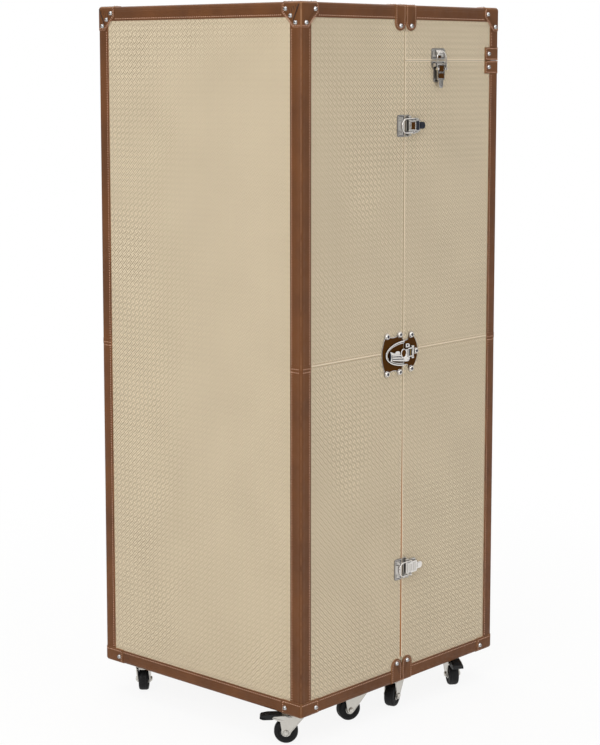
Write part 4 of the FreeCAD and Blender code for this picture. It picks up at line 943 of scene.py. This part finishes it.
def hasp(place):
    """The hasp: a ribbed blade with a thumb end, a ringed boss and its hinge's open frame, with dark pieces
    as painted shade in its grooves, in the thumb end's notch and inside the frame.
    """
    arm, heart, marks, brass, boss = Form(), Form(), Form(), Form(), -8.0
    blade = [
        (8.6, -8.2), (8.6, 8.2), (-2, 7.0), (-12, 0.6), (-40, 3.4), (-52.5, 8.2), (-49.2, 2.4),
        (-47.6, -2.4), (-48.2, -7.6), (-51.6, -13.4), (-42, -12.6), (-20, -15.8), (2, -18.6), (8.6, -14.0),
    ]
    arm.prism(rounded(blade, [0, 0, 3, 3, 3, 0.8, 2, 2, 2, 0.8, 3, 3, 3, 3]), 6.15, 7.9, place)
    nub = [(-36, 2.6), (-20, 1.0), (-21, 4.6), (-25, 6.4), (-31, 6.8), (-35, 5.6)]
    arm.prism(rounded(nub, 1.2), 6.3, 8.4, place)
    barrel = [(0, -9.8), (3.0, -9.6), (3.1, -9.2), (3.1, 9.2), (3.0, 9.6), (0, 9.8)]
    arm.lathe(barrel, within(place, HASP_U, 0, HASP_W, "uwv"), 24)
    for middle, fall, reach in ((-1.4, 2.4, -12), (-6.0, 3.6, -11), (-10.9, 4.2, -4)):
        low = middle - fall
        rib = [(-45, middle - 1.3), (reach, low - 1.0), (reach, low + 1.0), (-45, middle + 1.3)]
        arm.prism(rounded(rib, 0.6), 7.6, 8.9, place)
    # Painted shade: dark bars in the grooves, a dark piece in the thumb end's notch and a dark plate inside
    # the frame.
    for middle, fall in ((-3.7, 3.0), (-8.4, 3.9)):
        low = middle - fall
        groove = [(-45, middle - 0.7), (-8, low - 0.7), (-8, low + 0.7), (-45, middle + 0.7)]
        marks.prism(rounded(groove, 0.2), 7.7, 8.1, place)
    hollow = [(-52.0, 6.4), (-48.6, 2.6), (-46.8, -2.4), (-47.4, -7.8), (-51.0, -11.8), (-52.6, -2.6)]
    marks.prism(rounded(hollow, 0.8), 6.25, 7.7, place)
    ring = [(7.4, 7.0), (10.3, 7.0), (10.3, 9.0), (9.6, 9.9), (8.6, 10.1), (7.8, 9.6), (7.4, 8.8)]
    spot = within(place, boss)
    arm.lathe(ring, spot, 40, ring=True)
    # Painted reflection: the boss's brown centre.
    heart.lathe([(7.7, 7.0), (7.7, 8.6), (6.0, 9.0), (0, 9.1)], spot, 32)
    arm.band(rectangle(7.2, 25.0, -9.8, 9.8, 1.2), rectangle(9.2, 22.9, -7.4, 7.4, 0.6), 6.8, 9.1, place)
    marks.prism(rectangle(8.4, 23.1, -7.6, 7.6, 0.4), 6.8, 7.7, place)
    brass.prism(rectangle(14.4, 17.0, -7.6, 7.6, 0.3), 7.0, 8.6, place)
    piece("hasp_arm", arm, NICKEL, "lock_hasp", 0.35, ("lock_hasp",))
    piece("hasp_boss", heart, REFLECTION_ENAMEL, "lock_hasp", 0.2)
    piece("hasp_shade_marks", marks, SHADE_STEEL, "lock_hasp")
    piece("hasp_brass", brass, BRASS, "lock_hasp", 0.2)


# ---- hinges and drawers ----


def hinge_screws():
    """Three screws in each leaf of the case's hinges on the back and of the lid's on the broad side."""
    forms = {body: (Form(), Form()) for body in ("left_half", "right_half", "lid")}
    leaf = 2
    back = lambda side, z: lambda u, v, w: (side * u, COVER_Y + leaf + w, z + v)
    broad = lambda way, y: lambda u, v, w: (COVER_X + leaf + w, y + v, CUT + way * u)
    spots = [(body, back(side, z)) for z in HINGES_Z for side, body in ((-1, "left_half"), (1, "right_half"))]
    spots += [(body, broad(way, y)) for y in LID_HINGES_Y for way, body in ((-1, "right_half"), (1, "lid"))]
    for body, place in spots:
        for u, v in ((20, -25), (20, 25), (32, 0)):
            screw(forms[body], place, u, v, 0, 3.2)
    for body, (heads, slots) in forms.items():
        piece(f"hinge_screws_{body}", heads, NICKEL, body)
        # Painted shade: the slots drawn dark.
        piece(f"hinge_screw_slots_{body}", slots, SHADE_STEEL, body)


def drawer_trim():
    """A honey bead round each drawer's front and a plate behind each knob."""
    face = lambda u, v, w: (-26.2 + w, u, v)
    for n in (1, 2, 3, 4):
        low, high = 99.5 + DRAWER_PITCH * (n - 1), 356.2 + DRAWER_PITCH * (n - 1)
        outer = rectangle(-262, 262, low + 15, high - 15, 5)
        inner = rectangle(-258.5, 258.5, low + 18.5, high - 18.5, 3.5)
        bead, plates = Form().band(outer, inner, -0.5, 1.8, face), Form()
        for y in (-130, 130):
            spot = within(face, y, (low + high) / 2, 0)
            plates.lathe([(17, -0.4), (17, 0.9), (15.5, 1.6), (6.0, 1.7)], spot, 40)
        piece(f"drawer_{n}_bead", bead, RIM, f"drawer_{n}", 0.6)
        piece(f"drawer_{n}_roses", plates, NICKEL, f"drawer_{n}")


# ---- casters ----

# Each caster's kingpin, the direction in degrees that its wheel trails to, and whether it has a brake.
CASTERS = {
    1: (-287.2, -247, 132, True), 2: (-92.2, -247, 155, False),
    3: (39.2, -247, 198, False), 4: (234.2, -247, 232, True),
    5: (-287.2, 215, 42, True), 6: (-92.2, 215, 75, False),
    7: (39.2, 215, 100, False), 8: (234.2, 215, 30, True),
}
TRAIL, WHEEL = 21.0, 25.0  # the axle's distance from the kingpin, and the wheel's radius
CHEEKS, BRAKE_ARMS = ((-15, -12.5), (12.5, 15)), ((-15.2, -12.4), (12.4, 15.2))


def caster(number):
    """A fork with its race, axle ends and perhaps a brake, and a wheel with its tyre, grooves and hub."""
    x, y, trail, brake = CASTERS[number]
    cos, sin = math.cos(math.radians(trail)), math.sin(math.radians(trail))
    place = lambda u, v, w: (x + u * cos - v * sin, y + u * sin + v * cos, w)
    edgewise, across = within(place, axes="uwv"), within(place, TRAIL, 0, WHEEL, "uwv")
    fork, pedal, tyre, hub, grooves = (Form() for _ in range(5))
    race = [(0, 57.3), (16.5, 57.3), (17, 58.2), (17, 60.3), (15.4, 63.0), (14.0, 64.1), (0, 64.1)]
    fork.lathe(race, place, 40)
    fork.prism(rectangle(-2, 34, -15, 15), 57.3, 60.3, place)
    cheek = [(-16, 60.3), (34, 60.3), (34, 54), (28.5, 21), (23, 16.5), (17, 17.5), (-12, 52), (-16, 56.5)]
    for low, high in CHEEKS:
        fork.prism(rounded(cheek, [2, 2, 3, 5, 3, 4, 5, 2]), low, high, edgewise)
    nut = [(5.2, 14.6), (5.2, 17.2), (4.4, 18.2), (2.2, 18.8), (0, 18.9)]
    disc = [(0, 12.2), (3.6, 12.2), (3.6, 10.5), (8.2, 10.5), (9.0, 11.1)]
    disc += [(10.4, 11.1), (10.2, 10.4), (9.6, 9.6), (0, 9.6)]
    for way in (-1, 1):
        facing = lambda u, v, w: across(u, v, way * w)
        fork.lathe(nut, facing, 24 if brake else 6)
        hub.lathe(disc, facing, 32)
    tread = [(9.5, 9.0), (15.5, 9.4), (16.6, 10.6), (19.5, 11.0)]
    tread += [(23.0, 10.2), (24.6, 7.6), (WHEEL, 4.6), (WHEEL, 0)]
    tyre.lathe(tread + [(r, -w) for r, w in reversed(tread[:-1])], across, 56, ring=True)
    for w in (-5.5, 5.5):
        groove = [(24.2, w - 0.5), (WHEEL, w - 0.5), (WHEEL, w + 0.5), (24.2, w + 0.5)]
        grooves.lathe(groove, across, 56, ring=True)
    if brake:
        step = [(30, 53.8), (52, 50.8), (69, 50.4), (75.9, 53), (75, 58.5), (60, 61.6), (30, 62.4)]
        pedal.prism(rounded(step, [1, 2, 3, 3, 4, 3, 1]), -12, 12, edgewise)
        for u in (56, 61, 66, 71):
            pedal.prism(rectangle(u, u + 2, -9, 9), 57.0, 62.6 - (u - 50) * 0.12, place)
        arm = rounded([(20, 60.5), (48, 58.6), (50, 54.5), (30, 47), (18, 52)], [3, 3, 3, 5, 5])
        for low, high in BRAKE_ARMS:
            fork.prism(arm, low, high, edgewise)
    body, wheel = f"caster_fork_{number}", f"caster_wheel_{number}"
    piece(f"fork_{number}", fork, ZINC, body, 0.5, (body,))
    if brake:
        piece(f"pedal_{number}", pedal, PLASTIC, body, 0.8)
    piece(f"tyre_{number}", tyre, RUBBER, wheel, 0.0, (wheel,))
    piece(f"tyre_grooves_{number}", grooves, PLASTIC, wheel)
    piece(f"hub_{number}", hub, ZINC, wheel, 0.3)


# ---- floor, light and camera ----

KEY, FILL, TOP = 80.0, 14.0, 46.0  # the lamps' powers in watts
SKY = 0.55
FLOOR_GLOW = 0.9  # the share of plain white in the floor beside the trunk
FLOOR_REACH = 30  # metres
PICTURE_HEIGHT, FOCAL, SENSOR = 745, 1877.2, 36.0  # pixels, pixels and millimetres
CAMERA_SPOT, CAMERA_DIP, CAMERA_HEADING, CAMERA_SHIFT = (-3.0717, -2.7737, 1.4003), 6.91, -47.9, -0.11


def stage():
    """A pale floor that turns to plain white away from the trunk, so that no horizon shows."""
    s = Shader("floor_white", Roughness=0.9, Specular_IOR_Level=0.1)
    s.put(s.bsdf.inputs["Base Color"], srgb(244, 244, 243))
    far = s.step(s.math("SQRT", s.x * s.x + s.y * s.y), 0.7, 2.2, FLOOR_GLOW, 1.0)
    rays = s.node("LightPath")
    seen = Value(s, rays.outputs["Is Camera Ray"]).math("MAXIMUM", Value(s, rays.outputs["Is Glossy Ray"]))
    seen = seen.math("MAXIMUM", Value(s, rays.outputs["Is Transmission Ray"]))
    glow = s.node("Emission", {"Color": (1, 1, 1, 1), "Strength": 1.0})
    blend = s.node("MixShader", {0: far * seen, 1: s.bsdf.outputs[0], 2: glow.outputs[0]})
    s.tree.links.new(blend.outputs[0], s.tree.nodes["Material Output"].inputs["Surface"])
    mesh = bpy.data.meshes.new("floor")
    ends = ((-1, -1), (1, -1), (1, 1), (-1, 1))
    mesh.from_pydata([(FLOOR_REACH * x, FLOOR_REACH * y, 0) for x, y in ends], [], [[0, 1, 2, 3]])
    mesh.materials.append(s.material)
    floor = bpy.data.objects.new("floor", mesh)
    bpy.context.scene.collection.objects.link(floor)


def sky():
    """White to the camera; a soft room to everything else, where polished metal also finds a dark horizon."""
    world = bpy.data.worlds.new("studio")
    bpy.context.scene.world = world
    world.use_nodes = True
    tree = world.node_tree
    tree.nodes.clear()
    put = tree.links.new
    make = lambda kind: tree.nodes.new("ShaderNode" + kind)
    spots, split, rays = make("TexCoord"), make("SeparateXYZ"), make("LightPath")
    put(spots.outputs["Generated"], split.inputs[0])

    def room(*numbers):
        ramp, shade = make("MapRange"), make("Background")
        put(split.outputs["Z"], ramp.inputs[0])
        for i, number in enumerate(numbers):
            ramp.inputs[1 + i].default_value = number
        put(ramp.outputs[0], shade.inputs["Strength"])
        return shade

    def choose(ray, no, yes):
        blend = make("MixShader")
        put(rays.outputs[ray], blend.inputs[0])
        put(no.outputs[0], blend.inputs[1])
        put(yes.outputs[0], blend.inputs[2])
        return blend

    soft, gloss = room(-0.05, 0.75, SKY * 0.62, SKY * 1.45), room(0.06, 0.5, 0.06, 1.25)
    white = make("Background")
    for light in (soft, gloss, white):
        light.inputs["Color"].default_value = (1, 1, 1, 1)
    shade = choose("Is Glossy Ray", soft, gloss)
    for ray in ("Is Transmission Ray", "Is Camera Ray"):
        shade = choose(ray, shade, white)
    put(shade.outputs[0], make("OutputWorld").inputs["Surface"])


def lamp(name, spot, aim, wide, power):
    light = bpy.data.lights.new(name, "AREA")
    light.shape, light.size, light.energy = "SQUARE", wide, power
    thing = bpy.data.objects.new(name, light)
    thing.location = spot
    thing.rotation_euler = (Vector(aim) - Vector(spot)).to_track_quat("-Z", "Y").to_euler()
    bpy.context.scene.collection.objects.link(thing)


def camera():
    data = bpy.data.cameras.new("camera")
    data.sensor_width, data.lens, data.shift_y = SENSOR, FOCAL * SENSOR / PICTURE_HEIGHT, CAMERA_SHIFT
    data.clip_start, data.clip_end = 0.1, 100
    thing = bpy.data.objects.new("camera", data)
    thing.location = CAMERA_SPOT
    thing.rotation_euler = (math.radians(90 - CAMERA_DIP), 0, math.radians(CAMERA_HEADING))
    bpy.context.scene.collection.objects.link(thing)
    bpy.context.scene.camera = thing


dress_nodes()
stitch_trunk()
cover_seams()
seam_beads()
lid_cut()
binding_laps()
rivets()
cap_edges()
latches()
lock()
hinge_screws()
drawer_trim()
for number in CASTERS:
    caster(number)
stage()
sky()
lamp("key", (-4.2, -1.6, 3.1), (0, 0, 0.9), 2.6, KEY)
lamp("fill", (1.6, -4.4, 2.2), (0, 0, 0.8), 3.0, FILL)
lamp("top", (0.2, 0.6, 4.6), (0, 0, 0.8), 3.4, TOP)
camera()
bpy.context.scene.view_settings.view_transform = "Standard"
